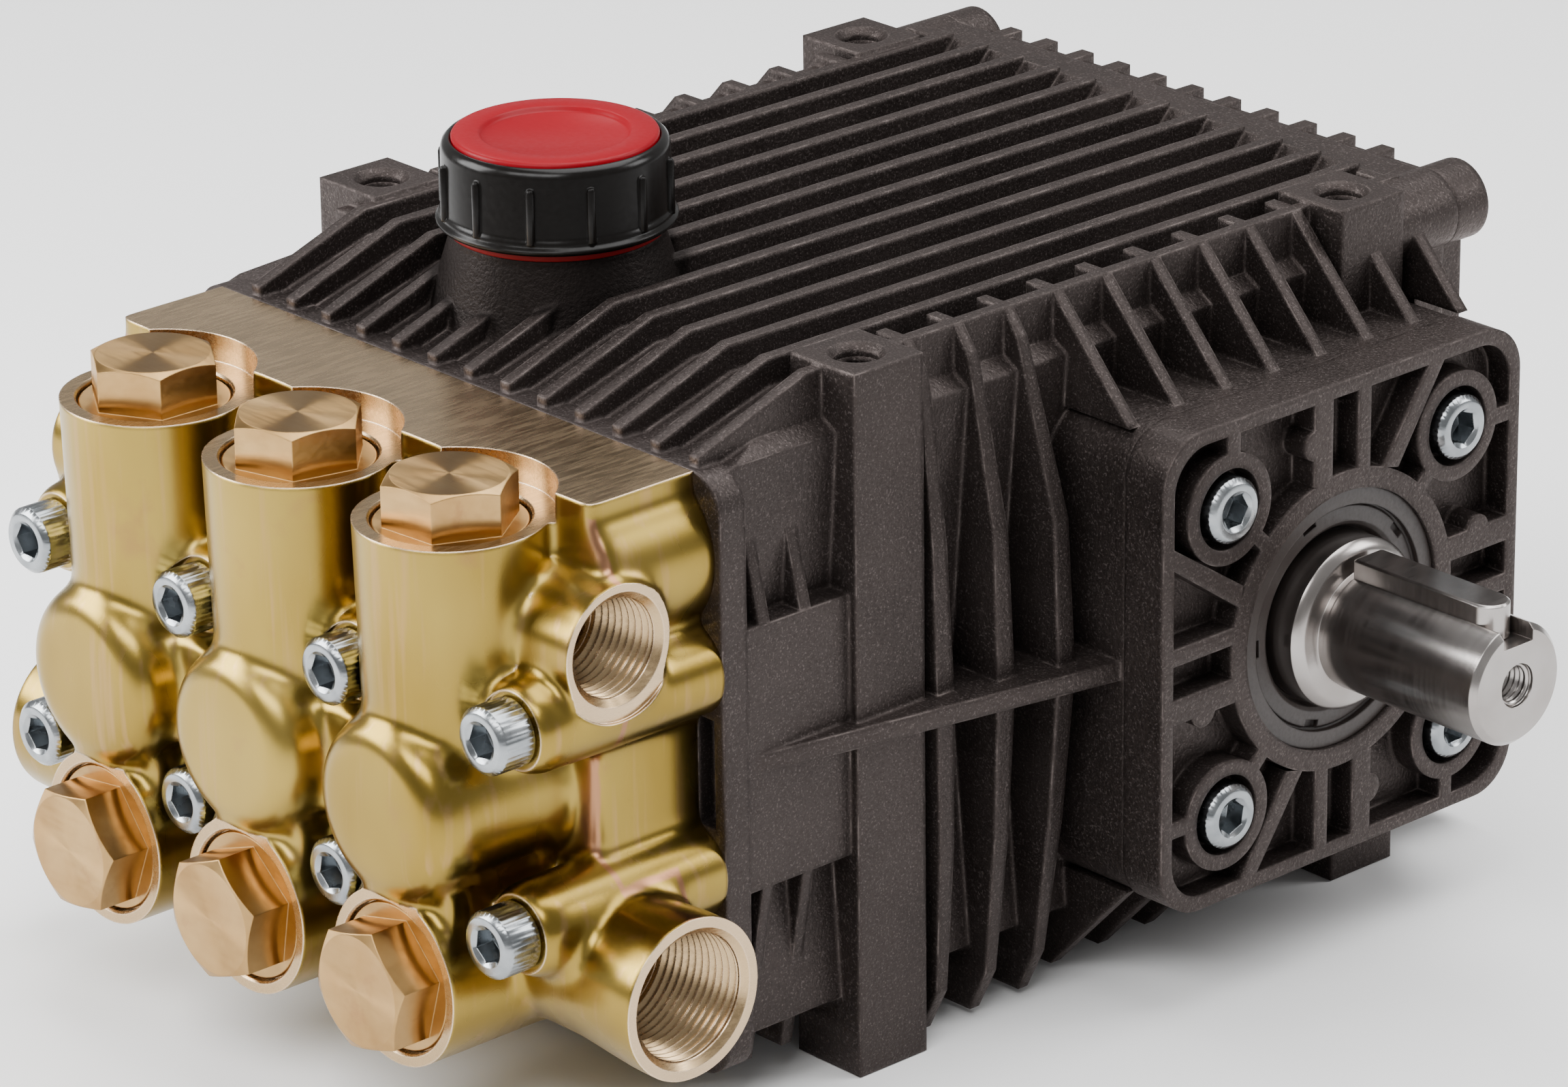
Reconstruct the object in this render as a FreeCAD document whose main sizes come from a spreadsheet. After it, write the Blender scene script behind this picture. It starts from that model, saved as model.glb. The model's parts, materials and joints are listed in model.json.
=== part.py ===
"""Triplex plunger pump with a forged brass manifold and a ribbed light-alloy crankcase.

Frame: +Z up, X along the crankshaft with the shaft end at +X, +Y to the rear cover.
The origin is the centre of the four foot holes, on the plane that the feet stand on.
Lengths are in millimetres and angles in degrees.
"""
import FreeCAD, Part
import math
import os
import Sketcher

# Driving dimensions, by the piece that they shape
SIZES = {
    # mounting posts
    "post_x": 67.5, "post_y": 63.5, "post_side": 17.0, "post_top": 140.0,
    "post_hole_radius": 4.25, "post_hole_chamfer": 1.3,
    # crankcase shell; a reach is counted outwards from the side wall
    "case_front": -103.4, "case_rear": 88.0, "case_half": 69.0, "case_floor": 9.0, "case_wall": 9.0,
    "groove_floor": 133.6, "shoulder_inset": 8.0, "shoulder_drop": 6.0, "wall_bulge": 2.0,
    "slope_foot": 125.6, "knee_y": -75.5,
    "front_plate": 6.0, "front_plate_reach": 5.5, "front_plate_top": 127.7,
    "front_window_depth": 4.0, "corner_round": 7.0,
    "rear_rim": 8.0, "rear_rim_reach": 3.0, "rear_rim_top": 138.0, "rear_rim_bottom": 6.0,
    "cheek_reach": 5.0, "cheek_low": 45.0, "cheek_high": 97.0, "cheek_rear": -58.0,
    # ribs of the crankcase
    "rib_top": 139.0, "rib_pitch": 10.4, "rib_shift": 3.6, "rib_thick": 2.6, "rib_front_top": 129.7,
    "rail_inset": 2.0, "rail_thick": 4.0, "rail_drop": 2.4, "side_rib_bottom": 1.4, "side_rib_first": -50.5,
    "side_rib_pitch": 12.75, "side_rib_shoulder": 131.0, "side_rib_shoulder_reach": 2.8,
    "side_rib_reach": 8.0, "side_rib_belly": 2.9, "side_rib_tip": 2.4, "side_rib_middle": 4.4,
    "gusset_thick": 3.8,
    # crank axis and the square housings round it
    "crank_y": 31.2, "crank_z": 70.0, "housing_half": 48.0, "housing_reach": 21.0, "housing_round": 10.0,
    "bearing_radius": 32.0, "bearing_depth": 16.0, "bearing_gap": 1.0,
    "cover_half": 48.4, "cover_thick": 10.2, "cover_rim": 2.8, "cover_pocket": 5.8,
    "cover_bore": 26.0, "cover_ring": 30.1, "cover_bolt": 31.0, "cover_boss": 11.0,
    "cover_seat": 8.0, "cover_seat_depth": 6.1, "cover_rib": 3.2, "cover_knob": 3.0,
    "blind_thick": 6.0, "blind_disc": 34.0, "blind_raise": 2.0,
    # crankshaft; stands are counted from the housing's end
    "shaft_radius": 12.0, "shaft_stand": 54.8, "shaft_root": 14.0, "collar_radius": 17.0,
    "collar_stand": 14.6, "shaft_chamfer": 1.2, "running_gap": 0.05, "fixed_gap": 0.05,
    "key_width": 8.0, "key_stand": 3.2, "key_seat": 4.0, "key_start": 16.2, "key_length": 35.0,
    "end_hole_radius": 3.4, "end_hole_depth": 20.0,
    "seal_thick": 7.0, "seal_lip": 2.6, "ring_thick": 1.2, "ring_width": 3.4,
    # filler cap
    "cap_x": -12.3, "cap_y": -66.0, "neck_radius": 20.4, "neck_top": 144.8, "neck_foot_radius": 26.0,
    "gasket_thick": 1.6, "gasket_radius": 20.6,
    "cap_radius": 22.0, "cap_height": 17.2, "cap_lip": 0.9, "cap_lip_height": 2.6,
    "cap_disc_radius": 19.6, "cap_disc_thick": 2.0, "cap_disc_dish": 0.7, "cap_dish_radius": 15.0,
    "cap_grip": 1.6, "cap_grips": 12,
    # manifold block
    "column_pitch": 42.7, "block_front": -129.0, "block_inset": 1.6, "block_top": 127.7,
    "block_bottom": 23.0, "lobe_x": 56.8, "lobe_z": 111.4, "lobe_radius": 16.2,
    "valve_y": -139.2, "valve_radius": 17.9, "valve_foot_radius": 16.6, "valve_top": 122.2,
    "spot_radius": 19.3, "recess_radius": 14.6, "recess_depth": 2.2,
    "dome_radius": 18.0, "dome_front": -160.0, "dome_round": 7.0,
    "suction_z": 36.8, "suction_radius": 16.9, "suction_front": -156.0, "web_half": 13.5,
    "web_front": -153.0,
    "screw_x_inner": 22.0, "screw_x_outer": 66.1, "screw_high": 89.6, "screw_low": 50.0,
    "screw_seat": -145.5, "screw_boss": 9.0, "screw_room": 0.6,
    # ports of the manifold; a reach is counted outwards from the side wall
    "outlet_y": -128.0, "outlet_z": 102.5, "outlet_reach": 5.6, "outlet_radius": 12.0,
    "outlet_bore": 9.3, "outlet_depth": 18.0, "port_chamfer": 1.1,
    "inlet_y": -126.0, "inlet_z": 39.0, "inlet_reach": 21.6, "inlet_radius": 15.5, "inlet_neck": 13.6,
    "inlet_neck_reach": 3.0, "inlet_lip": 5.0, "inlet_bore": 12.1, "inlet_depth": 24.0,
    # plugs and screws
    "plug_flats": 22.0, "plug_disc": 14.3, "plug_disc_thick": 1.4, "plug_high": 130.2,
    "plug_front": -164.4,
    "head_radius": 6.5, "head_height": 8.0, "socket_flats": 6.0,
    # rear cover
    "rear_thick": 6.0, "rear_half": 71.0, "rear_top": 135.6, "rear_bottom": 8.0, "fin_depth": 2.8,
    "fin_thick": 3.4, "fin_top": 136.5, "fin_pitch": 10.5, "fin_shift": -3.8, "fins": 11,
    "rear_boss_x": 67.6, "rear_boss_high": 130.6, "rear_boss_low": 13.4, "rear_boss_radius": 8.0,
    "rear_boss_depth": 8.7, "rear_seat_depth": 6.8, "rear_head_radius": 5.0, "rear_head_height": 6.0,
    "glass_radius": 9.0, "glass_ring": 13.5, "glass_z": 70.0, "glass_boss": 16.0,
    "drain_radius": 8.5, "drain_z": 24.0, "drain_boss": 11.5, "drain_flats": 15.0,
    "pad_depth": 5.2, "glass_stand": 3.5, "drain_stand": 5.0,
}

# Turn of each hexagon about its own axis
UPPER_PLUG_TURN = (28.0, 16.0, 5.0)
LOWER_PLUG_TURN = (8.0, 20.0, 14.0)
SIDES = {"left": -1, "right": 1}
COLUMNS = (-1, 0, 1)

doc = FreeCAD.newDocument("PlungerPump")
sheet = doc.addObject("Spreadsheet::Sheet", "Sizes")
for row, (alias, number) in enumerate(SIZES.items(), start=1):
    sheet.set(f"A{row}", alias)
    sheet.set(f"B{row}", str(number))
    sheet.setAlias(f"B{row}", alias)
doc.recompute()


class Size:
    """A length that carries both its number and the sheet expression that gives it."""

    def __init__(self, value, text):
        self.value = float(value)
        self.text = text

    def __add__(self, other):
        other = as_size(other)
        return Size(self.value + other.value, f"({self.text} + {other.text})")

    def __sub__(self, other):
        other = as_size(other)
        return Size(self.value - other.value, f"({self.text} - {other.text})")

    def __mul__(self, factor):
        factor = as_size(factor)
        return Size(self.value * factor.value, f"({self.text} * {factor.text})")

    def __truediv__(self, factor):
        factor = as_size(factor)
        return Size(self.value / factor.value, f"({self.text} / {factor.text})")

    def __radd__(self, other):
        return as_size(other) + self

    def __rsub__(self, other):
        return as_size(other) - self

    def __rmul__(self, factor):
        return self * factor

    def __neg__(self):
        return self * -1


def as_size(number):
    """Give a plain number the same face as a sheet size."""
    if isinstance(number, Size):
        return number
    return Size(number, f"({float(number):.9f})")


def size(alias):
    """Read one size from the sheet."""
    return Size(sheet.get(alias), f"Sizes.{alias}")


def bind(thing, path, amount):
    """Tie one property of a document object to the sheet."""
    thing.setExpression(path, as_size(amount).text)


def place(thing, where):
    for axis, amount in zip("xyz", where):
        bind(thing, f"Placement.Base.{axis}", amount)


def vector(x, y, z=0.0):
    return FreeCAD.Vector(as_size(x).value, as_size(y).value, as_size(z).value)


# Rotations that lay a local Z axis along a world direction
TURN = {
    "+Z": FreeCAD.Rotation(),
    "-Z": FreeCAD.Rotation(FreeCAD.Vector(1, 0, 0), 180),
    "+X": FreeCAD.Rotation(FreeCAD.Vector(0, 1, 0), 90),
    "-X": FreeCAD.Rotation(FreeCAD.Vector(0, 1, 0), -90),
    "+Y": FreeCAD.Rotation(FreeCAD.Vector(1, 0, 0), -90),
    "-Y": FreeCAD.Rotation(FreeCAD.Vector(1, 0, 0), 90),
}
# Rotations that lay a sketch on a world plane; XZ faces -Y
LAY = {
    "XY": FreeCAD.Rotation(),
    "XZ": FreeCAD.Rotation(FreeCAD.Vector(1, 0, 0), 90),
    "YZ": FreeCAD.Rotation(FreeCAD.Vector(1, 1, 1), 120),
}


# Sketch outlines, every corner held by a sheet expression

def hold(sketch, geometry, point, x, y):
    """Hold one point of the sketch at x, y from the sketch's origin."""
    for kind, amount in (("DistanceX", x), ("DistanceY", y)):
        amount = as_size(amount)
        index = sketch.addConstraint(Sketcher.Constraint(kind, -1, 1, geometry, point, amount.value))
        sketch.setExpression(f"Constraints[{index}]", amount.text)


def polygon(sketch, corners):
    count = len(corners)
    first = sketch.GeometryCount
    for here in range(count):
        start = vector(*corners[here])
        end = vector(*corners[(here + 1) % count])
        sketch.addGeometry(Part.LineSegment(start, end), False)
    for here in range(count):
        following = (here + 1) % count
        sketch.addConstraint(Sketcher.Constraint("Coincident", first + here, 2, first + following, 1))
        hold(sketch, first + here, 1, *corners[here])


def circle(sketch, x, y, radius):
    radius = as_size(radius)
    index = sketch.addGeometry(Part.Circle(vector(x, y), FreeCAD.Vector(0, 0, 1), radius.value), False)
    hold(sketch, index, 3, x, y)
    held = sketch.addConstraint(Sketcher.Constraint("Radius", index, radius.value))
    sketch.setExpression(f"Constraints[{held}]", radius.text)


def hexagon(sketch, flats, turn):
    corner_radius = as_size(flats) / (2 * math.cos(math.radians(30)))
    angles = [math.radians(turn + 60 * step) for step in range(6)]
    polygon(sketch, [(corner_radius * math.cos(a), corner_radius * math.sin(a)) for a in angles])


def rounded_rectangle(sketch, x, y, half_x, half_y, radius):
    """Four arcs joined by tangent lines, about the centre x, y."""
    radius = as_size(radius)
    quarters = ((1, 1, 0), (-1, 1, 90), (-1, -1, 180), (1, -1, 270))
    arcs = []
    for sign_x, sign_y, start in quarters:
        centre = (x + (half_x - radius) * sign_x, y + (half_y - radius) * sign_y)
        ring = Part.Circle(vector(*centre), FreeCAD.Vector(0, 0, 1), radius.value)
        arc = Part.ArcOfCircle(ring, math.radians(start), math.radians(start + 90))
        index = sketch.addGeometry(arc, False)
        hold(sketch, index, 3, *centre)
        held = sketch.addConstraint(Sketcher.Constraint("Radius", index, radius.value))
        sketch.setExpression(f"Constraints[{held}]", radius.text)
        arcs.append((index, arc))
    for here, (index, arc) in enumerate(arcs):
        following, next_arc = arcs[(here + 1) % 4]
        line = sketch.addGeometry(Part.LineSegment(arc.EndPoint, next_arc.StartPoint), False)
        sketch.addConstraint(Sketcher.Constraint("Tangent", index, 2, line, 1))
        sketch.addConstraint(Sketcher.Constraint("Tangent", line, 2, following, 1))


# Solids for the castings

def box(name, x_span, y_span, z_span):
    """A box between two values on each axis, given in either order."""
    solid = doc.addObject("Part::Box", name)
    spans = [sorted(map(as_size, span), key=lambda amount: amount.value)
             for span in (x_span, y_span, z_span)]
    for side, (low, high) in zip(("Length", "Width", "Height"), spans):
        bind(solid, side, high - low)
    place(solid, [low for low, high in spans])
    return solid


def cylinder(name, radius, start, direction, length):
    solid = doc.addObject("Part::Cylinder", name)
    solid.Placement = FreeCAD.Placement(FreeCAD.Vector(), TURN[direction])
    bind(solid, "Radius", radius)
    bind(solid, "Height", length)
    place(solid, start)
    return solid


def cone(name, start_radius, end_radius, start, direction, length):
    solid = doc.addObject("Part::Cone", name)
    solid.Placement = FreeCAD.Placement(FreeCAD.Vector(), TURN[direction])
    bind(solid, "Radius1", start_radius)
    bind(solid, "Radius2", end_radius)
    bind(solid, "Height", length)
    place(solid, start)
    return solid


def extrude(name, plane, low, high, draw):
    """Lift a sketch between two values along its plane's normal axis; draw fills the sketch."""
    low, high = as_size(low), as_size(high)
    sketch = doc.addObject("Sketcher::SketchObject", name + "_outline")
    sketch.Placement = FreeCAD.Placement(FreeCAD.Vector(), LAY[plane])
    draw(sketch)
    axis, foot = {"XY": ("z", low), "XZ": ("y", high), "YZ": ("x", low)}[plane]
    bind(sketch, f"Placement.Base.{axis}", foot)
    solid = doc.addObject("Part::Extrusion", name)
    solid.Base = sketch
    solid.DirMode = "Normal"
    solid.Solid = True
    bind(solid, "LengthFwd", high - low)
    return solid


def prism(name, plane, corners, low, high):
    return extrude(name, plane, low, high, lambda sketch: polygon(sketch, corners))


def fuse(name, solids):
    joined = doc.addObject("Part::MultiFuse", name)
    joined.Shapes = solids
    joined.Refine = True
    return joined


def cut(name, base, tools):
    removed = doc.addObject("Part::Cut", name)
    removed.Base = base
    removed.Tool = tools[0] if len(tools) == 1 else fuse(name + "_tools", tools)
    removed.Refine = True
    return removed


def common(name, solids):
    shared = doc.addObject("Part::MultiCommon", name)
    shared.Shapes = solids
    return shared


# Bodies for the turned and prismatic pieces

def new_body(name, where, direction):
    body = doc.addObject("PartDesign::Body", name)
    body.Label = name
    body.Placement = FreeCAD.Placement(FreeCAD.Vector(), TURN[direction])
    place(body, where)
    return body


def sketch_in(body, role, lift=0.0):
    """A sketch on one of the body's own origin planes, lifted along the plane's normal."""
    sketch = body.newObject("Sketcher::SketchObject", body.Name + "_sketch")
    plane = next(item for item in body.Origin.OriginFeatures if item.Role == role)
    sketch.AttachmentSupport = [(plane, "")]
    sketch.MapMode = "FlatFace"
    sketch.setExpression("AttachmentOffset.Base.z", as_size(lift).text)
    return sketch


def pad(body, sketch, length):
    feature = body.newObject("PartDesign::Pad", body.Name + "_pad")
    feature.Profile = sketch
    bind(feature, "Length", length)
    return feature


def pocket(body, sketch, depth):
    """Cut from the sketch towards the body's lower Z."""
    feature = body.newObject("PartDesign::Pocket", body.Name + "_pocket")
    feature.Profile = sketch
    bind(feature, "Length", depth)
    return feature


def turn(body, corners):
    """Turn a half section, given as radius and height, about the body's Z axis."""
    sketch = sketch_in(body, "XZ_Plane")
    polygon(sketch, corners)
    feature = body.newObject("PartDesign::Revolution", body.Name + "_turned")
    feature.Profile = sketch
    feature.ReferenceAxis = (sketch, ["V_Axis"])
    feature.Angle = 360
    return feature


# Values that several pieces share
case_front, case_rear = size("case_front"), size("case_rear")
crank_y, crank_z = size("crank_y"), size("crank_z")
groove_floor, rib_top = size("groove_floor"), size("rib_top")
half_rib = size("rib_thick") / 2
case_half = size("case_half")
inside = case_half - size("case_wall")
rail = case_half - size("rail_inset")
housing_end = case_half + size("housing_reach")
housing = size("housing_half")
block_half = case_half - size("block_inset")
outlet_face = case_half + size("outlet_reach")
inlet_face = case_half + size("inlet_reach")
column_pitch = size("column_pitch")
cover_bolt = size("cover_bolt")


def crankcase():
    """The light-alloy casting: a shell with posts, ribs, square housings and the filler neck."""
    floor, bulge = size("case_floor"), size("wall_bulge")
    shoulder, drop = case_half - size("shoulder_inset"), size("shoulder_drop")
    knee = size("knee_y")

    side_view = prism("case_side_view", "YZ", [
        (case_front, floor), (case_rear, floor), (case_rear, groove_floor),
        (knee, groove_floor), (case_front, size("slope_foot"))],
        -case_half - bulge, case_half + bulge)
    outer, waist = case_half + bulge, case_half - bulge
    end_view = prism("case_end_view", "XZ", [
        (-outer, floor + drop), (-shoulder, floor), (shoulder, floor), (outer, floor + drop),
        (waist, crank_z), (outer, groove_floor - drop), (shoulder, groove_floor),
        (-shoulder, groove_floor), (-outer, groove_floor - drop), (-waist, crank_z)],
        case_front, case_rear)
    pieces = [common("case_shell", [side_view, end_view])]

    plate_top, plate_half = size("front_plate_top"), case_half + size("front_plate_reach")
    plate_mid = (plate_top + floor) / 2
    pieces.append(extrude(
        "case_front_plate", "XZ", case_front, case_front + size("front_plate"),
        lambda s: rounded_rectangle(s, as_size(0), plate_mid, plate_half,
                                    (plate_top - floor) / 2, size("corner_round"))))
    rim_top, rim_bottom = size("rear_rim_top"), size("rear_rim_bottom")
    pieces.append(extrude(
        "case_rear_rim", "XZ", case_rear - size("rear_rim"), case_rear,
        lambda s: rounded_rectangle(s, as_size(0), (rim_top + rim_bottom) / 2,
                                    case_half + size("rear_rim_reach"), (rim_top - rim_bottom) / 2,
                                    size("corner_round"))))
    ramp_end = case_rear - size("rear_rim")
    ramp = rim_top - groove_floor
    pieces.append(prism("case_rear_ramp", "YZ", [
        (ramp_end - ramp, groove_floor), (ramp_end, rim_top), (ramp_end + 1, rim_top),
        (ramp_end + 1, groove_floor)], -shoulder, shoulder))
    pieces += top_ribs(knee) + posts() + side_features(knee)
    neck_place = (size("cap_x"), size("cap_y"), size("slope_foot"))
    neck_height = size("neck_top") - size("slope_foot")
    pieces.append(cylinder("case_neck", size("neck_radius"), neck_place, "+Z", neck_height))
    pieces.append(cone("case_neck_foot", size("neck_foot_radius"), size("neck_radius"), neck_place,
                       "+Z", neck_height - 1))
    for label, sign in SIDES.items():
        for level in ("rear_boss_high", "rear_boss_low"):
            pieces.append(cylinder(
                f"case_{level}_{label}", size("rear_boss_radius"),
                (size("rear_boss_x") * sign, case_rear - 2 * size("rear_rim"), size(level)),
                "+Y", 2 * size("rear_rim")))
    solid = fuse("case_solid", pieces)

    tools = post_holes()
    tools.append(cylinder("case_bearing_bore", size("bearing_radius"),
                          (housing_end, crank_y, crank_z), "-X", size("bearing_depth")))
    for label, sign in SIDES.items():
        tools.append(box(f"case_window_{label}",
                         (block_half * sign, (plate_half - 2.5) * sign),
                         (case_front, case_front + size("front_window_depth")),
                         (size("screw_low") + size("screw_boss"), size("screw_high") - size("screw_boss"))))
    case = cut("crankcase", solid, tools)
    case.Label = "crankcase"
    return case


def top_ribs(knee):
    """Thirteen ribs that climb the front slope and run back along the top."""
    front = case_front + 1.5
    rear = case_rear - size("rear_rim")
    root = groove_floor - 7
    ribs = []
    for step in range(-6, 7):
        x = size("rib_shift") + size("rib_pitch") * step
        ribs.append(prism(f"case_top_rib_{step + 7}", "YZ", [
            (front, size("slope_foot") - 7), (front, size("rib_front_top")), (knee, rib_top),
            (rear, rib_top), (rear, root), (knee, root)], x - half_rib, x + half_rib))
    return ribs


def posts():
    """Four square posts whose ends carry the mounting threads."""
    half = size("post_side") / 2
    made = []
    for label, sign in SIDES.items():
        for end, along in (("front", -1), ("rear", 1)):
            x, y = size("post_x") * sign, size("post_y") * along
            made.append(box(f"post_{end}_{label}", (x - half, x + half), (y - half, y + half),
                            (0, size("post_top"))))
    return made


def post_holes():
    """A hole down each post from end to end, with a chamfer at its upper mouth."""
    radius, chamfer, top = size("post_hole_radius"), size("post_hole_chamfer"), size("post_top")
    holes = []
    for label, sign in SIDES.items():
        for end, along in (("front", -1), ("rear", 1)):
            x, y = size("post_x") * sign, size("post_y") * along
            holes.append(cylinder(f"post_hole_{end}_{label}", radius, (x, y, 0), "+Z", top))
            holes.append(cone(f"post_mouth_{end}_{label}", radius + chamfer, radius, (x, y, top),
                              "-Z", chamfer))
    return holes


def side_features(knee):
    """Square housings, cheeks, gussets and the ribs of both side walls."""
    rear = case_rear - size("rear_rim")
    edge_front = crank_y - housing
    cheek = case_half + size("cheek_reach")
    half_gusset = size("gusset_thick") / 2
    made = []
    for label, sign in SIDES.items():
        span = sorted([inside * sign, housing_end * sign], key=lambda amount: amount.value)
        made.append(extrude(f"housing_{label}", "YZ", *span, lambda sketch: rounded_rectangle(
            sketch, crank_y, crank_z, housing, housing, size("housing_round"))))
        made.append(box(f"rail_{label}", ((rail - size("rail_thick")) * sign, rail * sign),
                        (knee, rear), (groove_floor - 8, rib_top - size("rail_drop"))))
        made.append(box(f"cheek_{label}", (inside * sign, cheek * sign),
                        (case_front, size("cheek_rear")), (size("cheek_low"), size("cheek_high"))))
        made.append(prism(f"gusset_{label}", "XY", [
            (inside * sign, case_front + 8), (cheek * sign, case_front + 8),
            ((housing_end - 1) * sign, edge_front + 1), (inside * sign, edge_front + 1)],
            crank_z - half_gusset, crank_z + half_gusset))
        for step in range(11):
            y = size("side_rib_first") + size("side_rib_pitch") * step
            name = f"side_rib_{label}_{step + 1}"
            if (y + half_rib).value < edge_front.value:
                made.append(bowed_rib(name, y, sign, size("side_rib_belly") * step))
            else:
                made += housing_ribs(name, y, sign)
        made += slant_ribs(label, sign, cheek)
    return made


def bowed_rib(name, y, sign, belly):
    """A side rib that bows out towards the crank axis and is thickest there."""
    outer = case_half + size("side_rib_reach") + belly
    near = case_half + size("side_rib_shoulder_reach")
    high, low = size("side_rib_shoulder"), size("side_rib_bottom")
    knee_low = near + 3.7
    quarter = (high - crank_z) / 2
    profile = prism(f"{name}_profile", "XZ", [(x * sign, z) for x, z in (
        (inside, rib_top), (rail, rib_top), (near - 1, high + 3), (near, high),
        (outer - 1.5, crank_z + quarter), (outer, crank_z), ((outer + knee_low) / 2 + 0.8, crank_z - quarter),
        (knee_low, low + 9), (rail + 4, low), (inside, low))], y - 5, y + 5)
    tip, middle = size("side_rib_tip") / 2, size("side_rib_middle") / 2
    edge_view = prism(f"{name}_edge_view", "YZ", [
        (y - tip, low), (y + tip, low), (y + middle, crank_z), (y + tip, rib_top),
        (y - tip, rib_top), (y - middle, crank_z)],
        *sorted([inside * sign, (outer + 1) * sign], key=lambda amount: amount.value))
    return common(name, [profile, edge_view])


def housing_ribs(name, y, sign):
    """The two ribs that slope from the case's upper and lower edge to a housing."""
    made = []
    for end, tip, reach in (("high", rib_top, crank_z + housing - 1),
                            ("low", size("side_rib_bottom"), crank_z - housing + 1)):
        made.append(prism(f"{name}_{end}", "XZ", [(x * sign, z) for x, z in (
            (inside, tip), (rail, tip), (housing_end - 2.5, reach), (inside, reach))],
            y - half_rib, y + half_rib))
    return made


def slant_ribs(label, sign, cheek):
    """Short ribs behind the front plate, above and below the cheek."""
    made = []
    for step, offset in enumerate((11, 21)):
        y = case_front + offset
        for end, tip, reach in (("high", size("front_plate_top") - 4, size("cheek_high")),
                                ("low", size("side_rib_bottom") + 6, size("cheek_low"))):
            made.append(prism(f"slant_rib_{label}_{step + 1}_{end}", "XZ", [(x * sign, z) for x, z in (
                (inside, tip), (rail, tip), (cheek - 0.3, reach), (inside, reach))],
                y - half_rib, y + half_rib))
    return made


def rear_cover():
    """The finned plate that closes the crankcase, with corner bosses and two pads."""
    top, bottom = size("rear_top"), size("rear_bottom")
    middle = (top + bottom) / 2
    thick, fin = size("rear_thick"), size("fin_depth")
    body = new_body("rear_cover", (as_size(0), case_rear, middle), "+Y")
    plate = sketch_in(body, "XY_Plane")
    rounded_rectangle(plate, as_size(0), as_size(0), size("rear_half"), (top - bottom) / 2,
                      size("corner_round"))
    pad(body, plate, thick)
    for level in ("rear_boss_high", "rear_boss_low"):
        for label, sign in SIDES.items():
            boss = sketch_in(body, "XY_Plane")
            circle(boss, size("rear_boss_x") * sign, middle - size(level), size("rear_boss_radius"))
            pad(body, boss, size("rear_boss_depth"))
    half_fin = size("fin_thick") / 2
    left = size("fin_shift") - size("fin_pitch") * 5
    rise = size("fin_top") - middle
    fins = sketch_in(body, "XY_Plane")
    polygon(fins, [(left - half_fin, -rise), (left + half_fin, -rise),
                   (left + half_fin, rise - 6), (left - half_fin, rise - 6)])
    first = pad(body, fins, thick + fin)
    row = body.newObject("PartDesign::LinearPattern", "rear_cover_fins")
    row.Originals = [first]
    row.Direction = (fins, ["H_Axis"])
    bind(row, "Length", size("fin_pitch") * 10)
    row.Occurrences = int(size("fins").value)
    body.Tip = row
    for name, level in (("glass_boss", "glass_z"), ("drain_boss", "drain_z")):
        disc = sketch_in(body, "XY_Plane")
        circle(disc, as_size(0), middle - size(level), size(name))
        pad(body, disc, thick + size("pad_depth"))
    seats = sketch_in(body, "XY_Plane", size("rear_boss_depth"))
    for level in ("rear_boss_high", "rear_boss_low"):
        for sign in SIDES.values():
            circle(seats, size("rear_boss_x") * sign, middle - size(level),
                   size("rear_head_radius") + size("screw_room"))
    pocket(body, seats, size("rear_seat_depth"))
    return body


def ribbed_cover():
    """The square drive-side cover: rim, ring, corner bosses and radial ribs round a bore."""
    half, thick = size("cover_half"), size("cover_thick")
    deep = size("cover_pocket")
    web = thick - deep
    body = new_body("drive_cover", (housing_end, crank_y, crank_z), "+X")
    plate = sketch_in(body, "XY_Plane")
    rounded_rectangle(plate, as_size(0), as_size(0), half, half, size("housing_round"))
    pad(body, plate, thick)
    hollow = sketch_in(body, "XY_Plane", thick)
    inner = half - size("cover_rim")
    rounded_rectangle(hollow, as_size(0), as_size(0), inner, inner,
                      size("housing_round") - size("cover_rim") / 2)
    circle(hollow, as_size(0), as_size(0), size("cover_ring"))
    pocket(body, hollow, deep)
    first = [pad(body, cover_ribs(body, web - 0.5), deep + 0.5),
             pad(body, cover_bosses(body, web - 0.5), deep + 0.5)]
    sides = body.newObject("PartDesign::PolarPattern", "drive_cover_sides")
    sides.Originals = first
    sides.Axis = (first[0].Profile[0], ["N_Axis"])
    sides.Angle = 360
    sides.Occurrences = 4
    body.Tip = sides
    seats = sketch_in(body, "XY_Plane", thick)
    for sign_x in (-1, 1):
        for sign_y in (-1, 1):
            circle(seats, cover_bolt * sign_x, cover_bolt * sign_y, size("cover_seat"))
    pocket(body, seats, size("cover_seat_depth"))
    bore = sketch_in(body, "XY_Plane", thick)
    circle(bore, as_size(0), as_size(0), size("cover_bore"))
    pocket(body, bore, thick)
    return body


def cover_ribs(body, lift):
    """Ribs of the cover's upper side, given by Y and Z from the crank axis."""
    near, far = size("cover_ring") - 1, size("cover_half") - 1
    half = size("cover_rib") / 2
    lean = half * 1.3
    outlines = [
        [(-8.5, near), (-3.5, near), (-3.5, far), (-8.5, far)],
        [(3.4, near), (6.8, near), (6.8, far), (3.4, far)],
        [(12.5 - lean, near - 1), (12.5 + lean, near - 2), (26 + lean, far), (26 - lean, far)],
        [(19, 19 + lean), (19 + lean, 19), (cover_bolt - 2, cover_bolt - 2 - lean),
         (cover_bolt - 2 - lean, cover_bolt - 2)],
        [(-30 - half, cover_bolt + 8), (-30 + half, cover_bolt + 8), (-30 + half, far), (-30 - half, far)],
    ]
    sketch = sketch_in(body, "XY_Plane", lift)
    for outline in outlines:
        # world Y and Z lie along local Y and -X in this body
        polygon(sketch, [(as_size(z) * -1, y) for y, z in outline])
    return sketch


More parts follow.
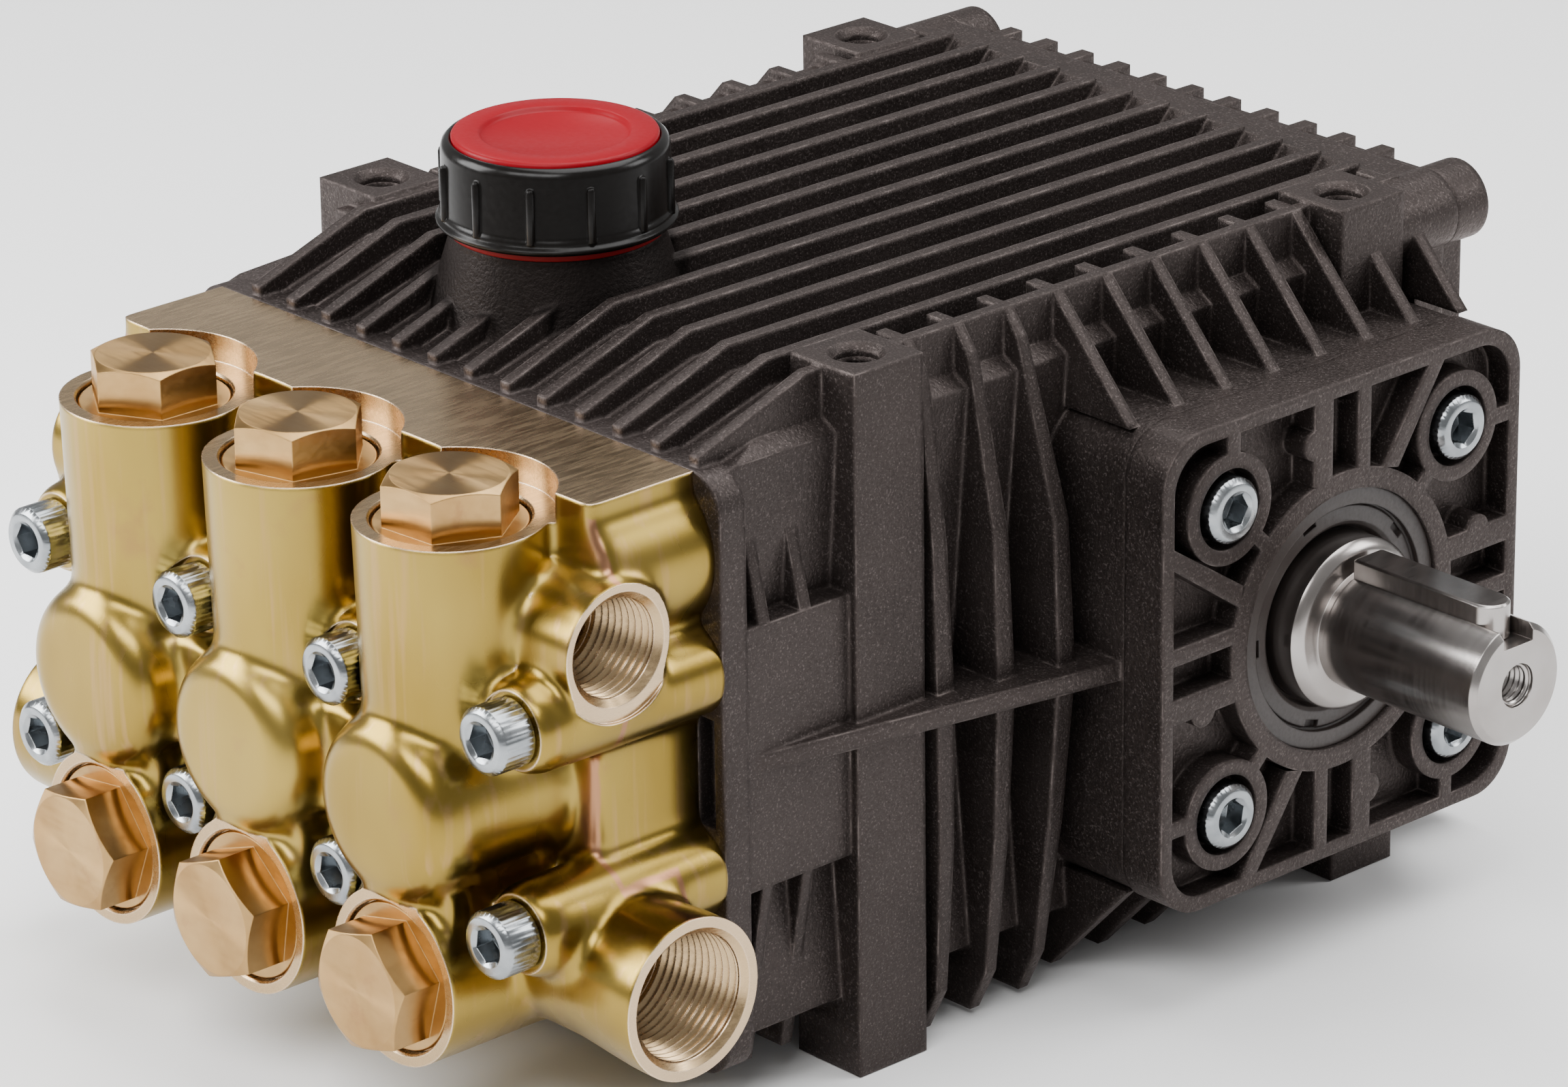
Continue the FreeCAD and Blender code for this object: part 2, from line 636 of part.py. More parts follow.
def cover_bosses(body, lift):
    """One corner boss and the small knob on the rib beside it."""
    sketch = sketch_in(body, "XY_Plane", lift)
    circle(sketch, -cover_bolt, cover_bolt, size("cover_boss"))
    circle(sketch, -size("cover_ring") - 7.3, as_size(-8), size("cover_knob"))
    return sketch


def blind_cover():
    """The closed cover over the far end of the crankshaft."""
    body = new_body("closed_cover", (-housing_end, crank_y, crank_z), "-X")
    plate = sketch_in(body, "XY_Plane")
    half = size("cover_half")
    rounded_rectangle(plate, as_size(0), as_size(0), half, half, size("housing_round"))
    pad(body, plate, size("blind_thick"))
    disc = sketch_in(body, "XY_Plane", size("blind_thick"))
    circle(disc, as_size(0), as_size(0), size("blind_disc"))
    pad(body, disc, size("blind_raise"))
    return body


def crankshaft():
    """The drive end of the crankshaft: collar, keyed stub and threaded end hole."""
    start = housing_end - size("shaft_root")
    end, collar = housing_end + size("shaft_stand"), housing_end + size("collar_stand")
    radius, chamfer = size("shaft_radius"), size("shaft_chamfer")
    body = new_body("crankshaft", (start, crank_y, crank_z), "+X")
    turn(body, [(0, 0), (size("collar_radius"), 0), (size("collar_radius"), collar - start - chamfer),
                (size("collar_radius") - chamfer, collar - start), (radius, collar - start),
                (radius, end - start - chamfer), (radius - chamfer, end - start), (0, end - start)])
    hole = sketch_in(body, "XY_Plane", end - start)
    circle(hole, as_size(0), as_size(0), size("end_hole_radius"))
    pocket(body, hole, size("end_hole_depth"))
    slot = sketch_in(body, "XY_Plane", end - start)
    half = size("key_width") / 2
    bottom = radius - size("key_seat")
    # the local -X axis points to world +Z, so the key lies on top of the shaft
    polygon(slot, [(-bottom, -half), (-bottom, half), (-radius - 1, half), (-radius - 1, -half)])
    pocket(body, slot, size("shaft_stand") - size("key_start"))
    return body


def shaft_key():
    """The parallel key in the shaft's slot, with one rounded end."""
    half = size("key_width") / 2 - size("running_gap")
    length = size("key_length")
    bottom = size("shaft_radius") - size("key_seat")
    height = size("key_seat") + size("key_stand")
    body = new_body("shaft_key", (housing_end + size("key_start"), crank_y, crank_z + bottom), "+Z")
    base = sketch_in(body, "XY_Plane")
    polygon(base, [(0, -half), (length - half, -half), (length - half, half), (0, half)])
    pad(body, base, height)
    nose = sketch_in(body, "XY_Plane")
    circle(nose, length - half, as_size(0), half)
    pad(body, nose, height)
    return body


def ring(name, x, inner, outer, thick):
    """A plain turned ring about the crank axis."""
    body = new_body(name, (x, crank_y, crank_z), "+X")
    turn(body, [(inner, 0), (outer, 0), (outer, thick), (inner, thick)])
    return body


def shaft_rings():
    """Bearing, oil seal and retaining ring round the collar."""
    gap, running = size("fixed_gap"), size("running_gap")
    inner = size("collar_radius") + running
    floor = housing_end - size("bearing_depth") + size("bearing_gap") * 3
    bearing = ring("drive_bearing", floor, inner, size("bearing_radius") - gap,
                   housing_end - size("bearing_gap") - floor)
    seal = new_body("shaft_seal", (housing_end + size("bearing_gap"), crank_y, crank_z), "+X")
    thick, lip = size("seal_thick"), size("seal_lip")
    outer = size("cover_bore") - gap
    turn(seal, [(inner, 0), (outer, 0), (outer, thick), (inner + lip, thick), (inner, thick - lip)])
    stop = ring("retaining_ring", housing_end + size("bearing_gap") + thick,
                outer - size("ring_width"), outer, size("ring_thick"))
    return [bearing, seal, stop]


def filler_cap():
    """Gasket, grip ring and inset disc on the filler neck."""
    cap_x, cap_y, neck_top = size("cap_x"), size("cap_y"), size("neck_top")
    thick = size("gasket_thick")
    gasket = new_body("filler_gasket", (cap_x, cap_y, neck_top), "+Z")
    washer = sketch_in(gasket, "XY_Plane")
    circle(washer, as_size(0), as_size(0), size("gasket_radius"))
    pad(gasket, washer, thick)

    radius, height = size("cap_radius"), size("cap_height")
    lip, lip_height = size("cap_lip"), size("cap_lip_height")
    disc_radius, disc_thick = size("cap_disc_radius"), size("cap_disc_thick")
    body = new_body("filler_cap", (cap_x, cap_y, neck_top + thick), "+Z")
    turn(body, [(0, 0), (radius + lip, 0), (radius + lip, lip_height), (radius - 0.6, lip_height),
                (radius - 0.8, height - 1.2), (radius - 1.4, height), (disc_radius + 0.1, height),
                (disc_radius + 0.1, height - disc_thick), (0, height - disc_thick)])
    grip = sketch_in(body, "XY_Plane", lip_height)
    half = size("cap_grip") / 2
    polygon(grip, [(radius - 2, -half), (radius + lip * 0.8, -half),
                   (radius + lip * 0.8, half), (radius - 2, half)])
    first = pad(body, grip, height * 0.6)
    round_row = body.newObject("PartDesign::PolarPattern", "filler_cap_grips")
    round_row.Originals = [first]
    round_row.Axis = (grip, ["N_Axis"])
    round_row.Angle = 360
    round_row.Occurrences = int(size("cap_grips").value)
    body.Tip = round_row

    disc = new_body("filler_cap_disc", (cap_x, cap_y, neck_top + thick + height - disc_thick), "+Z")
    dish, dish_radius = size("cap_disc_dish"), size("cap_dish_radius")
    turn(disc, [(0, 0), (disc_radius, 0), (disc_radius, disc_thick), (dish_radius, disc_thick),
                (dish_radius - 0.5, disc_thick - dish), (0, disc_thick - dish)])
    return [gasket, body, disc]


def manifold():
    """The forged brass head: three valve columns, plunger domes, ports and screw bosses."""
    back, front = case_front, size("block_front")
    pieces = [box("block", (-block_half, block_half), (front, back),
                  (size("block_bottom"), size("block_top")))]
    valve_y, valve_top = size("valve_y"), size("valve_top")
    suction_z = size("suction_z")
    dome, dome_front, rounding = size("dome_radius"), size("dome_front"), size("dome_round")
    for column in COLUMNS:
        x = column_pitch * column
        tag = column + 2
        pieces.append(cone(f"valve_barrel_{tag}", size("valve_foot_radius"), size("valve_radius"),
                           (x, valve_y, crank_z), "+Z", valve_top - crank_z))
        pieces.append(cylinder(f"dome_{tag}", dome, (x, dome_front + rounding, crank_z), "+Y",
                               front - dome_front - rounding + 2))
        pieces.append(cone(f"dome_nose_{tag}", dome, dome - 0.8 * rounding,
                           (x, dome_front + rounding, crank_z), "-Y", rounding))
        pieces.append(cylinder(f"suction_barrel_{tag}", size("suction_radius"),
                               (x, size("suction_front"), suction_z), "+Y",
                               front - size("suction_front") + 2))
        pieces.append(box(f"column_web_{tag}", (x - size("web_half"), x + size("web_half")),
                          (size("web_front"), front + 2), (suction_z, crank_z)))
    for label, sign in SIDES.items():
        pieces.append(cylinder(f"lobe_{label}", size("lobe_radius"),
                               (size("lobe_x") * sign, front, size("lobe_z")), "+Y", back - front))
        outward = "+X" if sign > 0 else "-X"
        root = column_pitch * sign
        pieces.append(cylinder(f"outlet_boss_{label}", size("outlet_radius"),
                               (root, size("outlet_y"), size("outlet_z")), outward,
                               outlet_face - column_pitch))
        neck_x, inlet_y, inlet_z = case_half + size("inlet_neck_reach"), size("inlet_y"), size("inlet_z")
        pieces.append(cylinder(f"inlet_neck_{label}", size("inlet_neck"),
                               (root, inlet_y, inlet_z), outward, neck_x - column_pitch))
        lip_x = inlet_face - size("inlet_lip")
        pieces.append(cone(f"inlet_flare_{label}", size("inlet_neck"), size("inlet_radius"),
                           (neck_x * sign, inlet_y, inlet_z), outward, lip_x - neck_x))
        pieces.append(cylinder(f"inlet_lip_{label}", size("inlet_radius"),
                               (lip_x * sign, inlet_y, inlet_z), outward, size("inlet_lip")))
    for name, (x, z) in screw_places().items():
        pieces.append(cylinder(f"screw_boss_{name}", size("screw_boss"),
                               (x, size("screw_seat"), z), "+Y", back - size("screw_seat")))
    solid = fuse("manifold_solid", pieces)

    tools = []
    for name, (x, z) in screw_places().items():
        tools.append(cylinder(f"screw_room_{name}", size("head_radius") + size("screw_room"),
                              (x, size("screw_seat"), z), "-Y", size("head_height") + 12))
    for column in COLUMNS:
        x = column_pitch * column
        tools.append(cylinder(f"spot_face_{column + 2}", size("spot_radius"), (x, valve_y, valve_top),
                              "+Z", size("block_top") - valve_top + 1))
        tools.append(cylinder(f"plug_recess_{column + 2}", size("recess_radius"), (x, valve_y, valve_top),
                              "-Z", size("recess_depth")))
        tools.append(cylinder(f"suction_recess_{column + 2}", size("recess_radius"),
                              (x, size("suction_front"), suction_z), "+Y", size("recess_depth")))
    chamfer = size("port_chamfer")
    for label, sign in SIDES.items():
        inward = "-X" if sign > 0 else "+X"
        for port in ("outlet", "inlet"):
            face, bore = (case_half + size(f"{port}_reach")) * sign, size(f"{port}_bore")
            where = (face, size(f"{port}_y"), size(f"{port}_z"))
            tools.append(cylinder(f"{port}_bore_{label}", bore, where, inward, size(f"{port}_depth")))
            tools.append(cone(f"{port}_mouth_{label}", bore + chamfer, bore, where, inward, chamfer))
    head = cut("manifold", solid, tools)
    head.Label = "manifold"
    return head


def screw_places():
    """Names and X, Z places of the eight screws that hold the manifold."""
    places = {}
    for level in ("high", "low"):
        for row, reach, sign in (("1", "outer", -1), ("2", "inner", -1), ("3", "inner", 1), ("4", "outer", 1)):
            places[f"{level}_{row}"] = (size(f"screw_x_{reach}") * sign, size(f"screw_{level}"))
    return places


def plug(name, where, direction, height, angle):
    """A hexagon plug on a round flange."""
    body = new_body(name, where, direction)
    flange = sketch_in(body, "XY_Plane")
    circle(flange, as_size(0), as_size(0), size("plug_disc"))
    pad(body, flange, size("plug_disc_thick"))
    hexed = sketch_in(body, "XY_Plane")
    hexagon(hexed, size("plug_flats"), angle)
    pad(body, hexed, height)
    return body


def plugs():
    made = []
    upper_seat = size("valve_top") - size("recess_depth")
    lower_seat = size("suction_front") + size("recess_depth")
    for column in COLUMNS:
        x = column_pitch * column
        made.append(plug(f"discharge_plug_{column + 2}", (x, size("valve_y"), upper_seat), "+Z",
                         size("plug_high") - upper_seat, UPPER_PLUG_TURN[column + 1]))
        made.append(plug(f"suction_plug_{column + 2}", (x, lower_seat, size("suction_z")), "-Y",
                         lower_seat - size("plug_front"), LOWER_PLUG_TURN[column + 1]))
    return made


def screw(name, where, direction, angle=0.0, shape="head"):
    """The head of a socket screw, seated on its boss."""
    body = new_body(name, where, direction)
    head = sketch_in(body, "XY_Plane")
    circle(head, as_size(0), as_size(0), size(f"{shape}_radius"))
    pad(body, head, size(f"{shape}_height"))
    socket = sketch_in(body, "XY_Plane", size(f"{shape}_height"))
    hexagon(socket, size("socket_flats") * size(f"{shape}_radius") / size("head_radius"), angle)
    pocket(body, socket, size(f"{shape}_height") * 0.57)
    return body


def screws():
    made = []
    for turned, (name, (x, z)) in enumerate(screw_places().items()):
        made.append(screw(f"manifold_screw_{name}", (x, size("screw_seat"), z), "-Y", 17.0 * turned))
    cover_seat = housing_end + size("cover_thick") - size("cover_seat_depth")
    blind_seat = -housing_end - size("blind_thick")
    for name, sign_y, sign_z in (("front_high", -1, 1), ("rear_high", 1, 1),
                                 ("front_low", -1, -1), ("rear_low", 1, -1)):
        y, z = crank_y + cover_bolt * sign_y, crank_z + cover_bolt * sign_z
        made.append(screw(f"drive_cover_screw_{name}", (cover_seat, y, z), "+X"))
        made.append(screw(f"closed_cover_screw_{name}", (blind_seat, y, z), "-X"))
    for label, sign in SIDES.items():
        for level in ("high", "low"):
            seat = case_rear + size("rear_boss_depth") - size("rear_seat_depth")
            where = (size("rear_boss_x") * sign, seat, size(f"rear_boss_{level}"))
            made.append(screw(f"rear_cover_screw_{label}_{level}", where, "+Y", shape="rear_head"))
    return made


def rear_fittings():
    """The oil sight glass with its ring, and the drain plug, on the rear cover's pads."""
    face = case_rear + size("rear_thick") + size("pad_depth")
    frame = new_body("sight_glass_ring", (as_size(0), face, size("glass_z")), "+Y")
    outer, inner, stand = size("glass_ring"), size("glass_radius"), size("glass_stand")
    turn(frame, [(inner, 0), (outer, 0), (outer, stand), (inner, stand)])
    glass = new_body("sight_glass", (as_size(0), face, size("glass_z")), "+Y")
    pane = sketch_in(glass, "XY_Plane")
    circle(pane, as_size(0), as_size(0), inner - size("fixed_gap"))
    pad(glass, pane, stand * 0.6)
    drain = new_body("drain_plug", (as_size(0), face, size("drain_z")), "+Y")
    washer = sketch_in(drain, "XY_Plane")
    circle(washer, as_size(0), as_size(0), size("drain_radius") + 1)
    pad(drain, washer, 2.0)
    hexed = sketch_in(drain, "XY_Plane")
    hexagon(hexed, size("drain_flats"), 0.0)
    pad(drain, hexed, size("drain_stand") + 2)
    return [frame, glass, drain]


def check(things):
    """Stop on any object that failed, or any piece whose shape is missing or broken."""
    for thing in doc.Objects:
        if "Invalid" in thing.State or "Error" in thing.State:
            raise RuntimeError(f"{thing.Name} failed: {thing.State}")
    for thing in things:
        shape = thing.Shape
        if shape.isNull() or not shape.isValid() or not shape.Solids:
            raise RuntimeError(f"{thing.Label} has no sound solid")


def main():
    things = [crankcase(), rear_cover(), ribbed_cover(), blind_cover(), crankshaft(), shaft_key()]
    things += shaft_rings() + filler_cap()
    things += [manifold()] + plugs() + screws() + rear_fittings()
    doc.recompute()
    check(things)
    os.makedirs("parts", exist_ok=True)
    for thing in things:
        thing.Shape.exportStep(f"parts/{thing.Label}.step")
        print(f"{thing.Label}: {len(thing.Shape.Solids)} solid, {thing.Shape.Volume / 1000:.1f} cm3")


main()
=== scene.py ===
"""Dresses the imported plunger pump: materials, small details, studio light and camera."""
import json
import math

import bmesh
import bpy
from mathutils import Matrix, Vector


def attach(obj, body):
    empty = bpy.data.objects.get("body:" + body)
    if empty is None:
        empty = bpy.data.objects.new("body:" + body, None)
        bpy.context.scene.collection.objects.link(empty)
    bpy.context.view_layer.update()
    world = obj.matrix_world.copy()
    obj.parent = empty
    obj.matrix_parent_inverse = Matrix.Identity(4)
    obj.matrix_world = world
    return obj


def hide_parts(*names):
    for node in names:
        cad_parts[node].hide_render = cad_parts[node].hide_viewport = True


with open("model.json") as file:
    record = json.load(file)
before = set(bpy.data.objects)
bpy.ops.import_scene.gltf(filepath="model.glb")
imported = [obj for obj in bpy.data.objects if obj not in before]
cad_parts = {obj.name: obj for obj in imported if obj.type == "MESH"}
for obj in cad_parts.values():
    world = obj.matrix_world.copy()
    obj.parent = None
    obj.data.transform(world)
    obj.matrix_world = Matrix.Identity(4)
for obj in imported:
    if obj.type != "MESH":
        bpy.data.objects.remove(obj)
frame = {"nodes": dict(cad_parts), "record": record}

MM = 0.001
CAP_X, CAP_Y, CAP_Z = -12.3, -66.0, 146.4
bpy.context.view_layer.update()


# Materials

OIL_LEVEL = 70.6
# the distances from the cap's axis between which the painted shade on the filler neck, standing for the
# cap's shadow, fades
NECK_SHADE = (23.8, 25.6)
# the forging's trimmed flash on both ends, as boxes in Y and Z: middle and half size
FLASH = [((-127.2, 90.0), (0.0, 34.0)), ((-120.8, 55.0), (6.4, 0.0)), ((-114.4, 50.0), (0.0, 5.0))]
# the bright rim that machining leaves along an edge, also used as a painted highlight along every edge
# of the brass
BURNISH_AND_EDGE_HIGHLIGHT = (0.78, 0.60, 0.42)


class Paint:
    """A node material that starts from one Principled shader."""

    def __init__(self, name, color, metallic, roughness, **extras):
        self.material = bpy.data.materials.new(name)
        self.material.use_nodes = True
        self.tree = self.material.node_tree
        self.shader = self.tree.nodes["Principled BSDF"]
        self.set_color("Base Color", color)
        self.shader.inputs["Metallic"].default_value = metallic
        self.shader.inputs["Roughness"].default_value = roughness
        for label, amount in extras.items():
            self.shader.inputs[label.replace("_", " ")].default_value = amount
        self.coordinates = self.node("ShaderNodeTexCoord").outputs["Object"]
        self.normal = None

    def node(self, kind, **settings):
        made = self.tree.nodes.new(kind)
        for label, amount in settings.items():
            setattr(made, label, amount)
        return made

    def link(self, start, end):
        self.tree.links.new(start, end)

    def set_color(self, label, color):
        self.shader.inputs[label].default_value = (*color, 1.0)

    def drive(self, label, socket):
        """Let a socket steer one input of the shader."""
        self.link(socket, self.shader.inputs[label])

    def along(self, axis):
        """The object coordinate along one axis."""
        place = self.node("ShaderNodeSeparateXYZ")
        self.link(self.coordinates, place.inputs["Vector"])
        return place.outputs[axis]

    def stretched(self, scale):
        """Object coordinates scaled by a different factor along each axis."""
        mapping = self.node("ShaderNodeMapping")
        mapping.inputs["Scale"].default_value = scale
        self.link(self.coordinates, mapping.inputs["Vector"])
        return mapping.outputs["Vector"]

    def noise(self, scale, detail=3.0, rough=0.5, stretch=None):
        made = self.node("ShaderNodeTexNoise")
        made.inputs["Scale"].default_value = scale
        made.inputs["Detail"].default_value = detail
        made.inputs["Roughness"].default_value = rough
        self.link(self.stretched(stretch) if stretch else self.coordinates, made.inputs["Vector"])
        return made.outputs["Fac"]

    def ramp(self, value, low, high, from_low=0.0, from_high=1.0):
        """Map a value from one span to another, clamped."""
        made = self.node("ShaderNodeMapRange")
        made.inputs["From Min"].default_value = from_low
        made.inputs["From Max"].default_value = from_high
        made.inputs["To Min"].default_value = low
        made.inputs["To Max"].default_value = high
        self.link(value, made.inputs["Value"])
        return made.outputs["Result"]

    def mix(self, factor, first, second):
        """Blend two colours; each is a colour or a socket."""
        made = self.node("ShaderNodeMix", data_type="RGBA")
        self.link(factor, made.inputs["Factor"])
        for label, color in (("A", first), ("B", second)):
            socket = [s for s in made.inputs if s.name == label and s.type == "RGBA"][0]
            if isinstance(color, tuple):
                socket.default_value = (*color, 1.0)
            else:
                self.link(color, socket)
        return [s for s in made.outputs if s.type == "RGBA"][0]

    def mottle(self, cloud, dark, light, low=0.3, high=0.7):
        """Blend two tones by a noise, over its values from low to high."""
        return self.mix(self.ramp(cloud, 0.0, 1.0, low, high), dark, light)

    def math(self, operation, first, second=None):
        """One arithmetic step on a socket and, where it needs one, a second value or socket."""
        made = self.node("ShaderNodeMath", operation=operation)
        self.link(first, made.inputs[0])
        if isinstance(second, float):
            made.inputs[1].default_value = second
        elif second is not None:
            self.link(second, made.inputs[1])
        return made.outputs["Value"]

    def bump(self, height, strength, distance):
        made = self.node("ShaderNodeBump")
        made.inputs["Strength"].default_value = strength
        made.inputs["Distance"].default_value = distance
        self.link(height, made.inputs["Height"])
        if self.normal:
            self.link(self.normal, made.inputs["Normal"])
        self.normal = made.outputs["Normal"]
        self.drive("Normal", self.normal)

    def rounded(self, radius):
        """The surface's normal, turned as if its edges were rounded by the radius."""
        bevel = self.node("ShaderNodeBevel", samples=6)
        bevel.inputs["Radius"].default_value = radius
        return bevel.outputs["Normal"]

    def edges(self, radius):
        """0 on flat surfaces, rising towards 1 along convex and concave edges."""
        geometry = self.node("ShaderNodeNewGeometry")
        dot = self.node("ShaderNodeVectorMath", operation="DOT_PRODUCT")
        self.link(self.rounded(radius), dot.inputs[0])
        self.link(geometry.outputs["Normal"], dot.inputs[1])
        return self.ramp(dot.outputs["Value"], 1.0, 0.0, 0.86, 0.995)

    def soften(self, radius):
        """Shade the edges as if they were rounded a little."""
        self.normal = self.rounded(radius)
        self.drive("Normal", self.normal)


def cast_alloy():
    """Painted sand-grained light alloy, black-brown with worn edges and painted edge highlights, painted
    glints, and painted shade on the filler neck.
    """
    paint = Paint("cast_alloy", (0.030, 0.025, 0.023), 0.35, 0.42)
    paint.set_color("Specular Tint", (1.0, 0.82, 0.77))
    paint.soften(1.5 * MM)
    tone = paint.mottle(paint.noise(45.0, 4.0), (0.0112, 0.0088, 0.0081), (0.0225, 0.0178, 0.0165))
    # painted glints: light specks in the base colour stand for the sparkle of the grain
    painted_glint = paint.ramp(paint.noise(2300.0, 1.0, 0.5), 0.0, 0.5, 0.57, 0.76)
    tone = paint.mix(painted_glint, tone, (0.13, 0.108, 0.104))
    # part worn paint, part painted highlight: a lighter colour along the edges where they catch the
    # light
    patches = paint.ramp(paint.noise(150.0, 4.0, 0.6), 0.06, 0.8, 0.50, 0.66)
    worn_and_highlit_edges = paint.math("MULTIPLY", paint.edges(0.6 * MM), patches)
    tone = paint.mix(worn_and_highlit_edges, tone, (0.17, 0.142, 0.133))
    # painted shade: the filler neck is darkened, and its reflection dimmed, where the cap's shadow falls
    # on it
    away = paint.node("ShaderNodeVectorMath", operation="DISTANCE")
    paint.link(paint.stretched((1.0, 1.0, 0.0)), away.inputs[0])
    away.inputs[1].default_value = (CAP_X * MM, CAP_Y * MM, 0.0)
    inner, outer = NECK_SHADE
    painted_neck_shade = paint.ramp(away.outputs["Value"], 1.0, 0.0, inner * MM, outer * MM)
    paint.drive("Base Color", paint.mix(painted_neck_shade, tone, (0.0055, 0.0045, 0.0042)))
    paint.drive("Specular IOR Level", paint.ramp(painted_neck_shade, 0.5, 0.2))
    grain = paint.noise(1300.0, 2.0, 0.6)
    paint.drive("Roughness", paint.ramp(grain, 0.34, 0.56, 0.3, 0.7))
    paint.bump(grain, 0.55, 0.00028)
    return paint.material


def flash_lines(paint):
    """Up to 0.85 along the trimmed flash on the forging's two ends, and 0 away from it."""
    across = {axis: paint.along(axis) for axis in "XYZ"}
    drift = paint.ramp(paint.noise(90.0, 3.0), -0.9 * MM, 0.9 * MM)
    nearest = None
    for middle, half in FLASH:
        spans = []
        for axis, centre, reach in zip("YZ", middle, half):
            wavy = paint.math("ADD", across[axis], drift)
            offset = paint.math("ABSOLUTE", paint.math("ADD", wavy, -MM * centre))
            spans.append(paint.math("SUBTRACT", offset, MM * reach))
        away = paint.math("MAXIMUM", *spans)
        nearest = paint.math("MINIMUM", nearest, away) if nearest else away
    line = paint.ramp(nearest, 0.85, 0.0, 0.35 * MM, 0.85 * MM)
    ends = paint.ramp(paint.math("ABSOLUTE", across["X"]), 0.0, 1.0, 62.0 * MM, 64.0 * MM)
    return paint.math("MULTIPLY", line, ends)


def forged_brass():
    """Blasted golden brass with soft shading, reddish smears and the lines of its flash."""
    paint = Paint("forged_brass", (0.62, 0.45, 0.17), 1.0, 0.25)
    paint.soften(1.2 * MM)
    cloud = paint.noise(30.0, 3.0, 0.5, (1.0, 1.0, 0.5))
    tone = paint.mottle(cloud, (0.25, 0.166, 0.032), (0.355, 0.25, 0.061), 0.36, 0.64)
    stain = paint.ramp(paint.noise(70.0, 5.0, 0.6), 0.0, 0.5, 0.60, 0.74)
    tone = paint.mix(stain, tone, (0.27, 0.150, 0.058))
    streak = paint.ramp(paint.noise(420.0, 2.0, 0.5, (1.0, 1.0, 0.05)), 0.0, 0.35, 0.56, 0.70)
    tone = paint.mix(streak, tone, (0.40, 0.24, 0.12))
    tone = paint.mix(flash_lines(paint), tone, (0.36, 0.17, 0.10))
    # lighter colour along the edges: burnished rims and a painted highlight
    paint.drive("Base Color", paint.mix(paint.edges(0.5 * MM), tone, BURNISH_AND_EDGE_HIGHLIGHT))
    paint.drive("Roughness", paint.ramp(cloud, 0.24, 0.32, 0.36, 0.64))
    paint.bump(paint.noise(1600.0, 2.0, 0.6), 0.025, 0.0002)
    return paint.material


def machined_brass(name, color):
    """A cut face on the forging, redder than its skin, with fine tool marks."""
    paint = Paint(name, color, 1.0, 0.26)
    paint.soften(0.35 * MM)
    darker = tuple(0.85 * part for part in color)
    tone = paint.mottle(paint.noise(60.0, 4.0), darker, color)
    # lighter colour along the edges: burnished rims and a painted highlight
    paint.drive("Base Color", paint.mix(paint.edges(0.5 * MM), tone, BURNISH_AND_EDGE_HIGHLIGHT))
    marks = paint.noise(1500.0, 2.0, 0.5, (1.0, 0.10, 1.0))
    paint.drive("Roughness", paint.ramp(marks, 0.22, 0.32, 0.3, 0.7))
    paint.bump(marks, 0.012, 0.0001)
    return paint.material


def turned_brass(name, axis):
    """Coppery plugs whose turned faces catch the light in a fan round the axis."""
    paint = Paint(name, (0.68, 0.45, 0.25), 1.0, 0.34, Anisotropic=0.9)
    round_axis = paint.node("ShaderNodeTangent", direction_type="RADIAL", axis=axis)
    paint.drive("Tangent", round_axis.outputs["Tangent"])
    paint.soften(0.35 * MM)
    tone = paint.mottle(paint.noise(90.0, 4.0), (0.37, 0.215, 0.078), (0.49, 0.31, 0.128))
    stain = paint.ramp(paint.noise(160.0, 5.0, 0.6), 0.0, 0.5, 0.60, 0.72)
    paint.drive("Base Color", paint.mix(stain, tone, (0.32, 0.165, 0.07)))
    marks = paint.noise(900.0, 2.0, 0.5, (0.12, 1.0, 1.0))
    paint.drive("Roughness", paint.ramp(marks, 0.29, 0.38, 0.3, 0.7))
    paint.bump(marks, 0.05, 0.0001)
    return paint.material


def zinc():
    """Bluish zinc plate on the screws."""
    paint = Paint("zinc", (0.60, 0.65, 0.70), 1.0, 0.22)
    paint.soften(0.25 * MM)
    cloud = paint.noise(260.0, 3.0)
    tone = paint.mottle(cloud, (0.25, 0.268, 0.282), (0.35, 0.368, 0.382), 0.35, 0.65)
    paint.drive("Base Color", tone)
    paint.drive("Roughness", paint.ramp(cloud, 0.18, 0.30, 0.3, 0.7))
    paint.bump(paint.noise(1500.0, 2.0), 0.05, 0.0001)
    return paint.material


def ground_steel():
    """Ground steel with fine marks round the shaft and a slightly mottled tone."""
    paint = Paint("ground_steel", (0.36, 0.335, 0.315), 1.0, 0.24)
    paint.soften(0.3 * MM)
    tone = paint.mottle(paint.noise(60.0, 4.0), (0.29, 0.265, 0.25), (0.39, 0.365, 0.35), 0.35, 0.65)
    paint.drive("Base Color", tone)
    marks = paint.noise(2200.0, 2.0, 0.5, (1.0, 0.06, 0.06))
    paint.drive("Roughness", paint.ramp(marks, 0.21, 0.27, 0.3, 0.7))
    paint.bump(marks, 0.025, 0.0001)
    return paint.material


def moulded(name, color, roughness, grain=900.0, depth=0.05, **extras):
    """Moulded plastic or rubber with a faint skin."""
    paint = Paint(name, color, 0.0, roughness, **extras)
    paint.soften(0.5 * MM)
    skin = paint.noise(grain, 2.0)
    paint.drive("Roughness", paint.ramp(skin, roughness * 0.85, roughness * 1.2, 0.3, 0.7))
    paint.bump(skin, depth, 0.0002)
    return paint.material


def sight_glass():
    """A glass eye with amber oil up to its middle and a paler empty half above."""
    oil = (0.20, 0.10, 0.015)
    paint = Paint("sight_glass", oil, 0.0, 0.08, IOR=1.5)
    empty = paint.ramp(paint.along("Z"), 0.0, 1.0, (OIL_LEVEL - 0.2) * MM, (OIL_LEVEL + 0.2) * MM)
    paint.drive("Base Color", paint.mix(empty, oil, (0.42, 0.36, 0.26)))
    paint.bump(paint.noise(120.0, 2.0), 0.03, 0.0002)
    return paint.material


